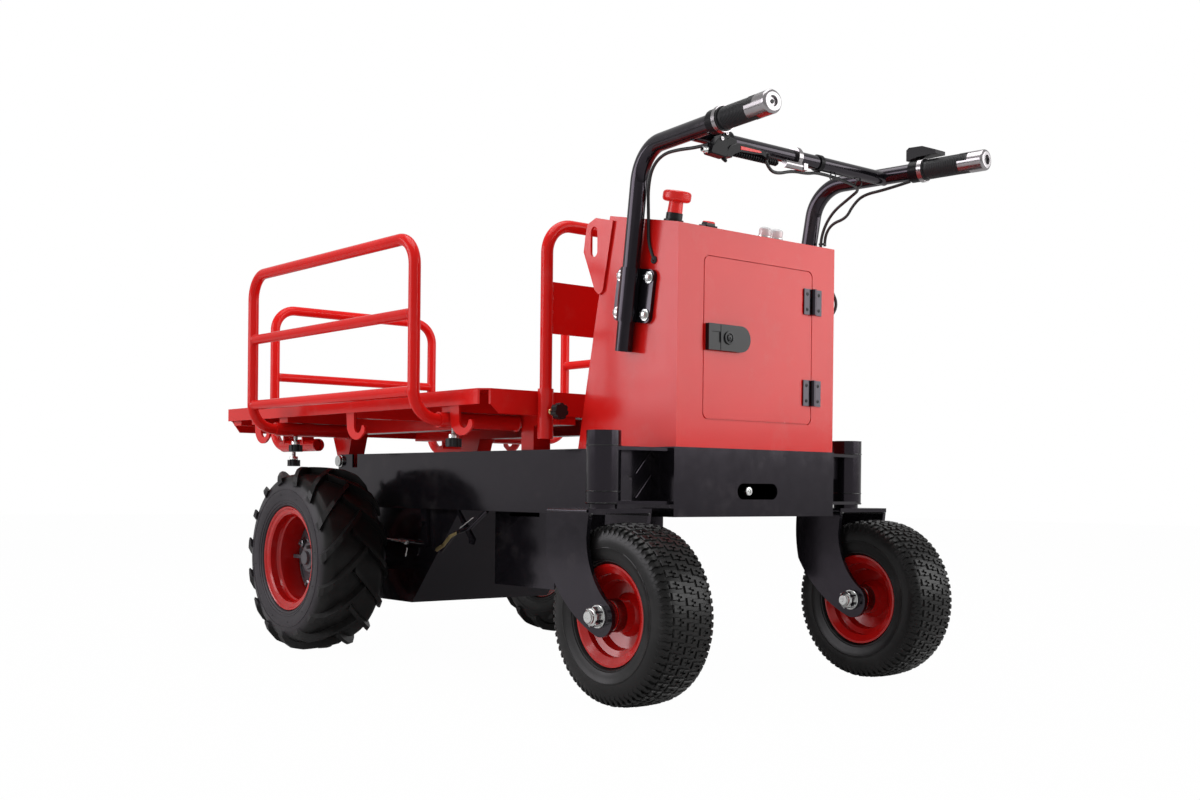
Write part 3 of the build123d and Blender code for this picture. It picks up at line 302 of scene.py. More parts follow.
#              finish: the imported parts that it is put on
NODE_FINISH = {
    "grip_rubber": ("grip_left", "grip_right"),
    "rim_red": ("caster_rim_left", "caster_rim_right", "drive_rim_left", "drive_rim_right"),
    "tyre_rubber": ("caster_tyre_left", "caster_tyre_right"),
    "drive_rubber": ("drive_tyre_left", "drive_tyre_right"),
    "hub_grey": ("drive_hub_left", "drive_hub_right", "drive_axle"),
    "bright_steel": ("handle_trim",),
    "zinc": ("tip_pivot_pin",),
    "black_plastic": ("door_latch", "dash_switches", "control_unit", "clamp_knobs"),
    "lever_black": ("hand_controls",),
    "cable_black": ("control_cables",),
    "red_plastic": ("emergency_stop",),
    "black_paint": ("chassis_frame", "kingpin_arm_left", "kingpin_arm_right", "motor_housing", "battery_box",
                    "handlebar_left", "handlebar_right", "handle_crossbar", "caster_fork_left", "caster_fork_right",
                    "door_leaves", "door_hinges", "handle_clamps", "brake_linkage"),
    "red_paint": ("control_box", "door_panel", "deck_floor", "deck_frame", "rail_receivers"),
    "rail_red": ("headboard", "side_rail_left", "side_rail_right", "front_rail"),
}


# ======== settings
class DumperSettings(bpy.types.PropertyGroup):
    """Colours of the finishes, and the caster tyres' tread"""
    red: bpy.props.FloatVectorProperty(name="Red paint", description="Colour of the deck, rails and cabinet",
                                       subtype="COLOR", size=3, min=0, max=1, default=(0.68, 0.010, 0.008))
    rim_red: bpy.props.FloatVectorProperty(name="Rim red", description="Colour of the wheel rims",
                                           subtype="COLOR", size=3, min=0, max=1, default=(0.47, 0.006, 0.005))
    stop_red: bpy.props.FloatVectorProperty(name="Stop red", description="Colour of the stop button",
                                            subtype="COLOR", size=3, min=0, max=1, default=(0.80, 0.012, 0.008))
    black: bpy.props.FloatVectorProperty(name="Black paint", description="Colour of the frame and handlebars",
                                         subtype="COLOR", size=3, min=0, max=1, default=(0.005, 0.0047, 0.006))
    rubber: bpy.props.FloatVectorProperty(name="Rubber", description="Colour of the tyres",
                                          subtype="COLOR", size=3, min=0, max=1, default=(0.0065, 0.0062, 0.0062))
    turf_rows: bpy.props.IntProperty(name="Turf tread rows", description="Rows of blocks across a caster tyre",
                                     default=6, min=3, max=9)
    turf_count: bpy.props.IntProperty(name="Turf tread blocks", description="Blocks in one row round a caster tyre",
                                      default=48, min=20, max=80)
    turf_ribs: bpy.props.IntProperty(name="Shoulder ribs", description="Ribs round one shoulder of a caster tyre",
                                     default=70, min=20, max=90)


def settings():
    return bpy.context.scene.dumper_settings


# ======== mesh helpers
SHARP_ANGLE = math.radians(35)
DOUBLES = 1e-6


def mesh_piece(name, bm, finish, body):
    """Turn a finished bmesh into a piece that rides on a body."""
    bmesh.ops.remove_doubles(bm, verts=bm.verts, dist=DOUBLES)
    bmesh.ops.recalc_face_normals(bm, faces=bm.faces)
    mesh = bpy.data.meshes.new(name)
    bm.to_mesh(mesh)
    bm.free()
    piece = bpy.data.objects.new(name, mesh)
    bpy.context.scene.collection.objects.link(piece)
    mesh.materials.append(FINISHES[finish])
    mesh.shade_smooth()
    mesh.set_sharp_from_angle(angle=SHARP_ANGLE)
    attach(piece, body)
    return piece


def take_mesh(bm, mesh):
    """Move a plain mesh into a bmesh."""
    bm.from_mesh(mesh)
    bpy.data.meshes.remove(mesh)


def join_rings(bm, rings):
    """Add the faces between rings that have equally many vertices."""
    for low, top in zip(rings, rings[1:]):
        for n in range(len(low)):
            m = (n + 1) % len(low)
            bm.faces.new((low[n], low[m], top[m], top[n]))


def frame_at(origin, way, turn=0.0):
    """Placement whose local +Z points along way."""
    spin = Matrix.Rotation(turn, 4, "Z")
    return Matrix.Translation(Vector(origin)) @ Vector(way).to_track_quat("Z", "Y").to_matrix().to_4x4() @ spin


def lathe(bm, profile, place, segments=32, closed=False):
    """Add a turned form: profile is (radius, height) from one pole or edge to the other, or back round if closed."""
    rings = []
    for radius, height in profile:
        if radius < 1e-7:
            rings.append([bm.verts.new(place @ Vector((0, 0, height)))])
            continue
        rings.append([bm.verts.new(place @ Vector((radius * math.cos(a), radius * math.sin(a), height)))
                      for a in (2 * math.pi * n / segments for n in range(segments))])
    pairs = list(zip(rings, rings[1:])) + ([(rings[-1], rings[0])] if closed else [])
    for low, high in pairs:
        for n in range(segments):
            m = (n + 1) % segments
            if len(low) == 1 and len(high) > 1:
                bm.faces.new((low[0], high[m], high[n]))
            elif len(high) == 1 and len(low) > 1:
                bm.faces.new((low[n], low[m], high[0]))
            elif len(low) > 1:
                bm.faces.new((low[n], low[m], high[m], high[n]))


def prism(bm, outline, low, high, place, bevel=0.0):
    """Add a straight prism of a flat outline with an optional small edge bevel."""
    inner = outline
    if bevel:
        mid = Vector((sum(p[0] for p in outline), sum(p[1] for p in outline))) / len(outline)
        inner = [tuple(Vector(p) + (mid - Vector(p)).normalized() * bevel * 1.3) for p in outline]
    levels = [(inner, low), (outline, low + bevel), (outline, high - bevel), (inner, high)] if bevel else [
        (outline, low), (outline, high)]
    rings = [[bm.verts.new(place @ Vector((p[0], p[1], z))) for p in shape] for shape, z in levels]
    join_rings(bm, rings)
    bm.faces.new(list(reversed(rings[0])))
    bm.faces.new(rings[-1])


def hexagon(radius):
    return [(radius * math.cos(2 * math.pi * n / 6), radius * math.sin(2 * math.pi * n / 6)) for n in range(6)]


def hex_bolt(bm, origin, way, across, head, turn):
    """Hexagon head with a chamfered crown on a plain washer."""
    place = frame_at(origin, way, turn)
    base = across * 0.18
    lathe(bm, [(0, 0), (across * 0.95, 0), (across, across * 0.04), (across, across * 0.14),
               (across * 0.95, base), (0, base)], place, 28)
    radius = across / 2 / math.cos(math.pi / 6) * 1.1
    top = base + across * head
    prism(bm, hexagon(radius), base, top - radius * 0.1, place)
    lathe(bm, [(radius * 0.93, top - radius * 0.1), (radius * 0.78, top), (0, top + radius * 0.03)], place, 24)


def weld(bm, start, end, radius, pitch=0.004):
    """Row of overlapping weld scallops between two points."""
    run = Vector(end) - Vector(start)
    count = max(2, int(run.length / pitch))
    place = frame_at(start, run)
    profile = [(0, -radius * 0.6)]
    for n in range(count):
        z = run.length * (n + 0.5) / count
        profile += [(radius * 0.78, z - pitch * 0.42), (radius, z), (radius * 0.86, z + pitch * 0.35)]
    profile.append((0, run.length + radius * 0.6))
    lathe(bm, profile, place, 10)


def ring_weld(bm, origin, way, radius, thick, ripples=28):
    """Rippled fillet weld round a tube, six-sided in section."""
    place = frame_at(origin, way)
    rings = []
    for n in range(ripples * 2):
        angle = math.pi * n / ripples
        swell = thick * (1.0 if n % 2 else 0.84)
        ring = []
        for k in range(6):
            t = math.pi * k / 3
            reach = radius + swell * math.cos(t)
            ring.append(bm.verts.new(place @ Vector((reach * math.cos(angle), reach * math.sin(angle),
                                                     swell * math.sin(t)))))
        rings.append(ring)
    join_rings(bm, rings + rings[:1])


# ======== operators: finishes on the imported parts
class DUMPER_OT_finishes(bpy.types.Operator):
    """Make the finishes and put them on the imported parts"""
    bl_idname = "dumper.finishes"
    bl_label = "Finishes"

    def execute(self, context):
        FINISHES.update(make_finishes(settings()))
        for finish, nodes in NODE_FINISH.items():
            for node in nodes:
                piece = NODES[node]
                if not piece.material_slots:
                    piece.data.materials.append(None)
                for place in piece.material_slots:
                    place.link = "OBJECT"
                    place.material = FINISHES[finish]
        return {"FINISHED"}


# ======== Geometry Nodes: like forms round a circle, and like forms on given spots
def geometry_tree(name, inputs):
    """New tree with named inputs, and the identifiers by which a modifier sets them."""
    tree = bpy.data.node_groups.new(name, "GeometryNodeTree")
    tree.interface.new_socket("Geometry", in_out="INPUT", socket_type="NodeSocketGeometry")
    tree.interface.new_socket("Geometry", in_out="OUTPUT", socket_type="NodeSocketGeometry")
    ids = {}
    for label, kind, default in inputs:
        socket = tree.interface.new_socket(label, in_out="INPUT", socket_type=f"NodeSocket{kind}")
        if default is not None:
            socket.default_value = default
        ids[label] = socket.identifier
    return tree, ids


def grow_node(tree, kind, settings=None, values=None, links=None):
    """New node of a tree: its settings first, then the values and the links of its sockets."""
    made = tree.nodes.new(kind)
    for key, value in (settings or {}).items():
        setattr(made, key, value)
    for key, value in (values or {}).items():
        made.inputs[key].default_value = value
    for key, source in (links or {}).items():
        tree.links.new(source, made.inputs[key])
    return made


def ring_tree():
    """Copies of a form on a circle round Z, each with its own Z outwards and its own X along the axis."""
    tree, ids = geometry_tree("forms_round_a_ring", (
        ("Form", "Object", None), ("Count", "Int", 12), ("Radius", "Float", 0.1), ("Along", "Float", 0.0),
        ("Turn", "Float", 0.0), ("Finish", "Material", None)))
    given = tree.nodes.new("NodeGroupInput").outputs
    circle = grow_node(tree, "GeometryNodeMeshCircle", links={"Vertices": given["Count"], "Radius": given["Radius"]})
    form = grow_node(tree, "GeometryNodeObjectInfo", links={"Object": given["Form"]})
    place = grow_node(tree, "GeometryNodeInputPosition")
    out = grow_node(tree, "FunctionNodeAlignEulerToVector", {"axis": "Z"}, links={"Vector": place.outputs[0]})
    flat = grow_node(tree, "FunctionNodeAlignEulerToVector", {"axis": "X", "pivot_axis": "Z"},
                     {"Vector": (0, 0, 1)}, {"Rotation": out.outputs[0]})
    copies = grow_node(tree, "GeometryNodeInstanceOnPoints", links={
        "Points": circle.outputs[0], "Instance": form.outputs["Geometry"], "Rotation": flat.outputs[0]})
    shift = grow_node(tree, "ShaderNodeCombineXYZ", links={"Z": given["Along"]})
    spin = grow_node(tree, "ShaderNodeCombineXYZ", links={"Z": given["Turn"]})
    moved = grow_node(tree, "GeometryNodeTransform", links={
        "Geometry": copies.outputs[0], "Translation": shift.outputs[0], "Rotation": spin.outputs[0]})
    return close_tree(tree, moved, given), ids


def spot_tree():
    """Copies of a form on the points of a carrier, all turned the same way."""
    tree, ids = geometry_tree("forms_on_spots", (
        ("Form", "Object", None), ("Turn", "Vector", (0.0, 0.0, 0.0)), ("Finish", "Material", None)))
    given = tree.nodes.new("NodeGroupInput").outputs
    form = grow_node(tree, "GeometryNodeObjectInfo", links={"Object": given["Form"]})
    copies = grow_node(tree, "GeometryNodeInstanceOnPoints", links={
        "Points": given["Geometry"], "Instance": form.outputs["Geometry"], "Rotation": given["Turn"]})
    return close_tree(tree, copies, given), ids


def close_tree(tree, last, given):
    """End a tree in real geometry with its finish."""
    real = grow_node(tree, "GeometryNodeRealizeInstances", links={"Geometry": last.outputs[0]})
    finish = grow_node(tree, "GeometryNodeSetMaterial", links={
        "Geometry": real.outputs[0], "Material": given["Finish"]})
    tree.links.new(finish.outputs[0], tree.nodes.new("NodeGroupOutput").inputs[0])
    return tree


def grown(tree_and_ids, form, finish, values=None, spots=()):
    """Plain mesh that a tree makes of a small form."""
    tree, ids = tree_and_ids
    scene = bpy.context.scene
    form_mesh = bpy.data.meshes.new("form")
    bmesh.ops.recalc_face_normals(form, faces=form.faces)
    form.to_mesh(form_mesh)
    form.free()
    shape = bpy.data.objects.new("form", form_mesh)
    carrier_mesh = bpy.data.meshes.new("carrier")
    carrier_mesh.from_pydata([tuple(p) for p in spots], [], [])
    carrier = bpy.data.objects.new("carrier", carrier_mesh)
    for thing in (shape, carrier):
        scene.collection.objects.link(thing)
    modifier = carrier.modifiers.new("grown", "NODES")
    modifier.node_group = tree
    for key, value in {"Form": shape, "Finish": FINISHES[finish], **(values or {})}.items():
        modifier[ids[key]] = value
    mesh = bpy.data.meshes.new_from_object(carrier.evaluated_get(bpy.context.evaluated_depsgraph_get()))
    carrier.modifiers.remove(modifier)
    for thing in (shape, carrier):
        bpy.data.objects.remove(thing)
    return mesh


def grown_piece(name, meshes, finish, body, place=None):
    """One piece out of grown meshes."""
    bm = bmesh.new()
    for mesh in meshes:
        take_mesh(bm, mesh)
    if place:
        bmesh.ops.transform(bm, matrix=place, verts=bm.verts)
    return mesh_piece(name, bm, finish, body)


def turn_to(way):
    """Euler angles that point local +Z along way."""
    return tuple(Vector(way).to_track_quat("Z", "Y").to_euler())


# ======== tyres and wheels
def turf_radius(along):
    """Bare carcass radius of a caster tyre at a distance along its axle."""
    return CASTER_R - 0.0030 - 0.0035 * (abs(along) / 0.04) ** 2.4


BLOCK_LONG, BLOCK_WIDE, BLOCK_HIGH, BLOCK_NOTCH, BLOCK_SINK = 0.0114, 0.0128, 0.0028, 0.0060, 0.0012


def turf_block(way):
    """C-shaped tread block with slightly drawn-in top: X along the axle, Y round the tyre."""
    bm = bmesh.new()
    half, width = BLOCK_LONG / 2, BLOCK_WIDE / 2
    outline = [(-half, -width), (half, -width), (half, width), (-half, width), (-half, width * 0.35),
               (-half + BLOCK_NOTCH, width * 0.3), (-half + BLOCK_NOTCH, -width * 0.3), (-half, -width * 0.35)]
    rings = [[bm.verts.new((x * share * way, y * share * way, z)) for x, y in outline]
             for z, share in ((-BLOCK_SINK, 1.06), (BLOCK_HIGH - 0.0006, 0.97), (BLOCK_HIGH, 0.90))]
    join_rings(bm, rings)
    bm.faces.new(rings[-1])
    return bm


def shoulder_block(way):
    """Long lug that runs from the tread edge down on to the sidewall."""
    bm = bmesh.new()
    deep = 0.0034
    #        place along the lug, and its half width there
    line = [(0.0, 0.0, 0.0022, 0.0040), (0.0055, 0.0012, 0.0012, 0.0040), (0.0100, -0.0010, -0.0026, 0.0036),
            (0.0128, 0.0012, -0.0092, 0.0032), (0.0140, -0.0008, -0.0165, 0.0028), (0.0146, 0.0010, -0.0225, 0.0024),
            (0.0140, 0.0, -0.0275, 0.0016)]
    rings = [[bm.verts.new(p) for p in (
        (way * (x - deep * 0.4), y - wide, z - deep), (way * x, y - wide * 0.8, z), (way * x, y + wide * 0.8, z),
        (way * (x - deep * 0.4), y + wide, z - deep))] for x, y, z, wide in line]
    join_rings(bm, rings)
    bm.faces.new(rings[0])
    bm.faces.new(rings[-1])
    return bm


class DUMPER_OT_caster_tyres(bpy.types.Operator):
    """Make the caster tyres with their turf tread and moulded sidewalls"""
    bl_idname = "dumper.caster_tyres"
    bl_label = "Caster tyres"

    def execute(self, context):
        s = settings()
        tree = ring_tree()
        half = [(0.0753, 0.0406), (0.0884, 0.0456), (0.0905, 0.0500), (0.0925, 0.0528), (0.0950, 0.0530),
                (0.0960, 0.0545), (0.1040, 0.0568), (0.1140, 0.0582), (0.1150, 0.0590), (0.1165, 0.0590),
                (0.1175, 0.0583), (0.1240, 0.0586), (0.1330, 0.0578), (0.1400, 0.0560), (0.1450, 0.0528),
                (0.1483, 0.0480), (turf_radius(0.040), 0.0400), (turf_radius(0.028), 0.0280),
                (turf_radius(0.014), 0.0140), (turf_radius(0.0), 0.0)]
        outline = half + [(r, -a) for r, a in reversed(half[:-1])]
        pitch = 2 * math.pi / s.turf_count
        for side, _ in SIDES:
            place = frame_at(centre_of(f"caster_tyre_{side}"), (0, 1, 0))
            bm = bmesh.new()
            lathe(bm, outline, place, 128, closed=True)
            carcass = mesh_piece(f"caster_carcass_{side}", bm, "tyre_rubber", f"caster_wheel_{side}")
            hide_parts(f"caster_tyre_{side}")
            blocks = []
            for row in range(s.turf_rows):
                pair, turn = divmod(row, 2)
                along = (row - (s.turf_rows - 1) / 2) * 0.086 / s.turf_rows + (0.0008, -0.0008)[turn]
                blocks.append(grown(tree, turf_block((-1, 1)[turn]), "tyre_rubber", {
                    "Count": s.turf_count, "Radius": turf_radius(along), "Along": along,
                    "Turn": pitch * (0.5 * (pair % 2) + 0.12 * turn)}))
            for edge in (1, -1):
                blocks.append(grown(tree, shoulder_block(edge), "tyre_rubber", {
                    "Count": s.turf_ribs, "Radius": turf_radius(0.043) + 0.0002, "Along": 0.0435 * edge,
                    "Turn": pitch * 0.25}))
            grown_piece(f"caster_tread_{side}", blocks, "tyre_rubber", f"caster_wheel_{side}", place)
        return {"FINISHED"}


def arc_offset(points, radius):
    """Distance along the axle of a sidewall that passes through three (distance, radius) points."""
    (x1, y1), (x2, y2), (x3, y3) = points
    d = 2 * (x1 * (y2 - y3) + x2 * (y3 - y1) + x3 * (y1 - y2))
    ux = ((x1 ** 2 + y1 ** 2) * (y2 - y3) + (x2 ** 2 + y2 ** 2) * (y3 - y1) + (x3 ** 2 + y3 ** 2) * (y1 - y2)) / d
    uy = ((x1 ** 2 + y1 ** 2) * (x3 - x2) + (x2 ** 2 + y2 ** 2) * (x1 - x3) + (x3 ** 2 + y3 ** 2) * (x2 - x1)) / d
    reach = math.hypot(x1 - ux, y1 - uy)
    return ux + math.sqrt(max(0.0, reach ** 2 - (radius - uy) ** 2))


#             radius, half width and height of the rings moulded on a drive tyre's side
WALL_RINGS = ((0.1255, 0.0016, 0.0010), (0.1315, 0.0009, 0.0007), (0.1560, 0.0012, 0.0009))
NUB_CIRCLE_R, NUBS = 0.144, 12


class DUMPER_OT_drive_wheels(bpy.types.Operator):
    """Make the drive wheels' sidewall rings, moulding nubs, wheel nuts, axle ends and valves"""
    bl_idname = "dumper.drive_wheels"
    bl_label = "Drive wheels"

    def execute(self, context):
        half = half_width("drive_tyre_left") - 0.0015
        wall = ((half - 0.006, DRIVE_R - 0.0875), (half, DRIVE_R - 0.059), (half - 0.004, DRIVE_R - 0.037))
        tree = ring_tree()
        for side, way in SIDES:
            hub = centre_of(f"drive_tyre_{side}")
            bm = bmesh.new()
            for face in (1, -1):
                place = frame_at(hub, (0, face, 0))
                for radius, wide, high in WALL_RINGS:
                    low, mid, top = (arc_offset(wall, r) for r in (radius - wide, radius, radius + wide))
                    lathe(bm, [(radius - wide, low - 0.0008), (radius - wide * 0.6, mid + high * 0.9),
                               (radius, mid + high), (radius + wide * 0.6, mid + high * 0.9),
                               (radius + wide, top - 0.0008)], place, 144, closed=True)
            mesh_piece(f"drive_wall_rings_{side}", bm, "drive_rubber", f"drive_wheel_{side}")
            nubs = []
            for face in (1, -1):
                nub = bmesh.new()
                lathe(nub, [(0, -0.001), (0.0007, -0.001), (0.0006, 0.0016), (0, 0.0018)],
                      frame_at((0, 0, 0), (face, 0, 0)), 6)
                nubs.append(grown(tree, nub, "tyre_rubber", {
                    "Count": NUBS, "Radius": NUB_CIRCLE_R, "Along": arc_offset(wall, NUB_CIRCLE_R) * face,
                    "Turn": 0.13}))
            grown_piece(f"drive_wall_nubs_{side}", nubs, "tyre_rubber", f"drive_wheel_{side}",
                        frame_at(hub, (0, 1, 0)))
            disc = way * HUB_FACE_Y
            bm = bmesh.new()
            for n in range(STUDS):
                turn = math.radians(360 // STUDS * n + STUD_START)
                spot = Vector((hub.x + STUD_CIRCLE_R * math.sin(turn), disc + way * NUT_SEAT,
                               hub.z + STUD_CIRCLE_R * math.cos(turn)))
                hex_bolt(bm, spot, (0, way, 0), 0.0165, 0.62, turn)
                lathe(bm, [(0.0042, 0.008), (0.0042, 0.0165), (0.0034, 0.0175), (0, 0.0175)],
                      frame_at(spot, (0, way, 0)), 16)
            mesh_piece(f"drive_wheel_nuts_{side}", bm, "dark_zinc", f"drive_wheel_{side}")
            bm = bmesh.new()
            end = Vector((hub.x, disc + way * HUB_CAP_SEAT, hub.z))
            lathe(bm, [(0.0145, -0.004), (0.0245, -0.0005), (0.0262, 0.002), (0.0255, 0.0042), (0.0160, 0.0052),
                       (0.0150, 0.0110), (0.0135, 0.0124), (0, 0.0128)], frame_at(end, (0, way, 0)), 40)
            mesh_piece(f"drive_hub_cap_{side}", bm, "hub_grey", f"drive_wheel_{side}")
            bm = bmesh.new()
            stem = Vector((hub.x + VALVE_CIRCLE_R * math.sin(VALVE_TURN), hub.y + way * VALVE_SEAT,
                           hub.z + VALVE_CIRCLE_R * math.cos(VALVE_TURN)))
            lathe(bm, [(0, -0.004), (0.0052, -0.004), (0.0046, 0.004), (0.0032, 0.010), (0.0030, 0.020),
                       (0.0042, 0.021), (0.0042, 0.029), (0.0036, 0.031), (0, 0.031)],
                  frame_at(stem, (math.sin(VALVE_TURN) * -0.35, way, math.cos(VALVE_TURN) * -0.35)), 16)
            mesh_piece(f"drive_valve_{side}", bm, "cable_black", f"drive_wheel_{side}")
        return {"FINISHED"}


class DUMPER_OT_caster_hardware(bpy.types.Operator):
    """Make the caster axle nuts, washers, bearing sleeves and fork welds"""
    bl_idname = "dumper.caster_hardware"
    bl_label = "Caster hardware"

    def execute(self, context):
        for side, way in SIDES:
            wheel, fork = centre_of(f"caster_tyre_{side}"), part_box(f"caster_fork_{side}")
            bright, welds, sleeves = bmesh.new(), bmesh.new(), bmesh.new()
            for face in (1, -1):
                place = frame_at(wheel + Vector((0, face * CHEEK, 0)), (0, face, 0), 0.3)
                lathe(bright, [(0.010, 0), (0.0192, 0), (0.0200, 0.0008), (0.0200, 0.0036), (0.0192, 0.0046),
                               (0.010, 0.0046)], place, 40)
                prism(bright, hexagon(0.0176), 0.0046, 0.0168, place)
                lathe(bright, [(0.0160, 0.0168), (0.0140, 0.0190), (0.0124, 0.0196), (0.0120, 0.0226), (0.0108, 0.0236),
                               (0.0104, 0.0222)], place, 32)
                lathe(bright, [(0.0102, 0.0180), (0.0103, 0.0246), (0.0092, 0.0256), (0.0030, 0.0256), (0.0022, 0.0248),
                               (0, 0.0248)], place, 28)
                inner = frame_at(wheel + Vector((0, face * 0.0455, 0)), (0, face, 0))
                lathe(sleeves, [(0.0284, -0.0135), (0.0294, -0.0128), (0.0277, 0.0040), (0.0266, 0.0046),
                                (0.0266, 0.0096), (0.0272, 0.0102), (0.0272, 0.0132), (0.0262, 0.0138),
                                (0.0150, 0.0138)], inner, 40)
                y = wheel.y + face * CHEEK - face * 0.0062
                weld(welds, (fork[0].x + 0.064, y, FORK_CROWN_Z), (fork[1].x - 0.004, y, FORK_CROWN_Z), 0.0042, 0.0045)
            mesh_piece(f"caster_axle_nuts_{side}", bright, "zinc", f"caster_fork_{side}")
            mesh_piece(f"caster_sleeves_{side}", sleeves, "oiled_steel", f"caster_wheel_{side}")
            mesh_piece(f"caster_fork_welds_{side}", welds, "weld_black", f"caster_fork_{side}")
            bm = bmesh.new()
            pin = Vector((KINGPIN_X, way * KINGPIN_Y, 0))
            for z in KINGPIN_RINGS_Z:
                lathe(bm, [(KINGPIN_TUBE_R, -0.0014), (0.0316, -0.0008), (0.0319, 0.0), (0.0316, 0.0008),
                           (KINGPIN_TUBE_R, 0.0014)],
                      frame_at(pin + Vector((0, 0, z)), (0, 0, 1)), 48)
            ring_weld(bm, pin + Vector((0, 0, KINGPIN_FOOT_Z)), (0, 0, 1), KINGPIN_TUBE_R, 0.0018)
            mesh_piece(f"kingpin_welds_{side}", bm, "weld_black", "chassis")
        return {"FINISHED"}


# ======== cabinet fittings
def lid_place(y):
    """Placement on the cabinet's sloped lid, in the row of controls."""
    return frame_at((CONTROLS_X, y, LID_REAR_Z + LID_RISE * (CONTROLS_X - REAR_X)), (-LID_RISE, 0, 1))


class DUMPER_OT_door_fittings(bpy.types.Operator):
    """Make the hinge screws and the lock barrel"""
    bl_idname = "dumper.door_fittings"
    bl_label = "Door fittings"

    def execute(self, context):
        hinges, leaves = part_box("door_hinges"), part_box("door_leaves")
        tree = spot_tree()
        faces = {"chassis": hinges[0].y + 0.0085, "door": leaves[1].y - 0.0085}
        mid = (hinges[0].z + hinges[1].z) / 2
        rise = (hinges[1].z - hinges[0].z) / 2 - 0.025
        for body, y in faces.items():
            screw = bmesh.new()
            lathe(screw, [(0.0, -0.001), (0.0034, -0.001), (0.0034, 0.0003), (0.0029, 0.0006), (0.0017, 0.0007),
                          (0.0015, 0.0001), (0, 0.0001)], frame_at((0, 0, 0), (0, 0, 1)), 18)
            spots = [(REAR_X - 0.0030, y, mid + way * rise + step) for way in (1, -1) for step in (-0.015, 0.015)]
            mesh = grown(tree, screw, "black_plastic", {"Turn": turn_to((-1, 0, 0))}, spots)
            grown_piece(f"hinge_screws_{body}", [mesh], "black_plastic", body)
        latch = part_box("door_latch")
        lock = Vector((latch[0].x, latch[1].y - 0.051, (latch[0].z + latch[1].z) / 2))
        bm = bmesh.new()
        lathe(bm, [(0.0120, -0.0004), (0.0118, -0.0012), (0.0084, -0.0014), (0.0080, 0.0000)],
              frame_at(lock, (1, 0, 0)), 36)
        lathe(bm, [(0.0062, 0.0002), (0.0062, -0.0014), (0.0054, -0.0019), (0.0016, -0.0019), (0.0016, -0.0006),
                   (0, -0.0006)], frame_at(lock, (1, 0, 0)), 28)
        mesh_piece("lock_barrel", bm, "black_plastic", "door")
        return {"FINISHED"}


class DUMPER_OT_lid_controls(bpy.types.Operator):
    """Make the lamp caps and bezels, the rocker's red top and the stop button's stem"""
    bl_idname = "dumper.lid_controls"
    bl_label = "Lid controls"

    def execute(self, context):
        bm = bmesh.new()
        for y in LAMPS_Y:
            lathe(bm, [(0.0119, 0.0046), (0.0121, 0.0160), (0.0112, 0.0184), (0.0082, 0.0204), (0.0040, 0.0214),
                       (0, 0.0216)], lid_place(y), 32)
        mesh_piece("lamp_caps", bm, "lens", "chassis")
        bm = bmesh.new()
        for y in LAMPS_Y:
            lathe(bm, [(0.0098, 0), (0.0128, 0.0002), (0.0132, 0.0012), (0.0128, 0.0046), (0.0098, 0.0052)],
                  lid_place(y), 32)
        mesh_piece("lamp_bezels", bm, "zinc", "chassis")
        bm = bmesh.new()
        prism(bm, [(-0.0098, -0.0066), (0.0098, -0.0066), (0.0098, 0.0066), (-0.0098, 0.0066)], 0.0060, 0.0124,
              lid_place(ROCKER_Y), 0.0014)
        mesh_piece("rocker_top", bm, "red_plastic", "chassis")
        bm = bmesh.new()
        for profile in ([(0.0152, 0.0028), (0.0152, 0.0150), (0.0146, 0.0158), (0.0136, 0.0160)],
                        [(0.0170, -0.0004), (0.0182, 0.0004), (0.0182, 0.0034), (0.0170, 0.0042), (0.0150, 0.0044)]):
            lathe(bm, profile, lid_place(STOP_Y), 40)
        mesh_piece("stop_stem", bm, "black_plastic", "chassis")
        return {"FINISHED"}


# ======== handlebars
def handle_line(side, way):
    """Open end and inner end of a grip on its axis, and the direction from the one to the other."""
    low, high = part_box(f"grip_{side}")
    rear = way * (max(abs(low.y), abs(high.y)) - GRIP_R)
    front = way * (min(abs(low.y), abs(high.y)) + GRIP_R)
    z = (low.z + high.z) / 2
    end, back = Vector((low.x, rear, z)), Vector((high.x, front, z))
    return end, back, (back - end).normalized()


GRIP_RIBS = 22


class DUMPER_OT_grips(bpy.types.Operator):
    """Make the moulded ribs, the flange and the end plug of the two grips"""
    bl_idname = "dumper.grips"
    bl_label = "Grips"

    def execute(self, context):
        tree = spot_tree()
        for side, way in SIDES:
            end, back, line = handle_line(side, way)
            length = (back - end).length
            rib = bmesh.new()
            lathe(rib, [(0.0176, -0.0015), (0.0186, -0.0011), (0.0190, 0.0), (0.0186, 0.0011), (0.0176, 0.0015)],
                  frame_at((0, 0, 0), (0, 0, 1)), 40, closed=True)
            spots = [end + line * (0.012 + (length - 0.024) * n / (GRIP_RIBS - 1)) for n in range(GRIP_RIBS)]
            ribs = grown(tree, rib, "grip_rubber", {"Turn": turn_to(line)}, spots)
            bm = bmesh.new()
            lathe(bm, [(0.0176, 0), (0.0204, 0.0004), (0.0210, 0.0016), (0.0206, 0.0034), (0.0176, 0.0042)],
                  frame_at(back - line * 0.0046, line), 40)
            take_mesh(bm, ribs)
            mesh_piece(f"grip_ribs_{side}", bm, "grip_rubber", "chassis")
            bm = bmesh.new()
            nose = end - line * (0.022 + 0.0035)
            lathe(bm, [(0.0176, 0.0034), (0.0172, 0.0006), (0.0098, 0.0), (0.0088, 0.0012), (0.0084, 0.0034),
                       (0.0040, 0.0036), (0.0034, 0.0010), (0, 0.0006)], frame_at(nose, line), 32)
            mesh_piece(f"grip_plug_{side}", bm, "black_plastic", "chassis")
        return {"FINISHED"}


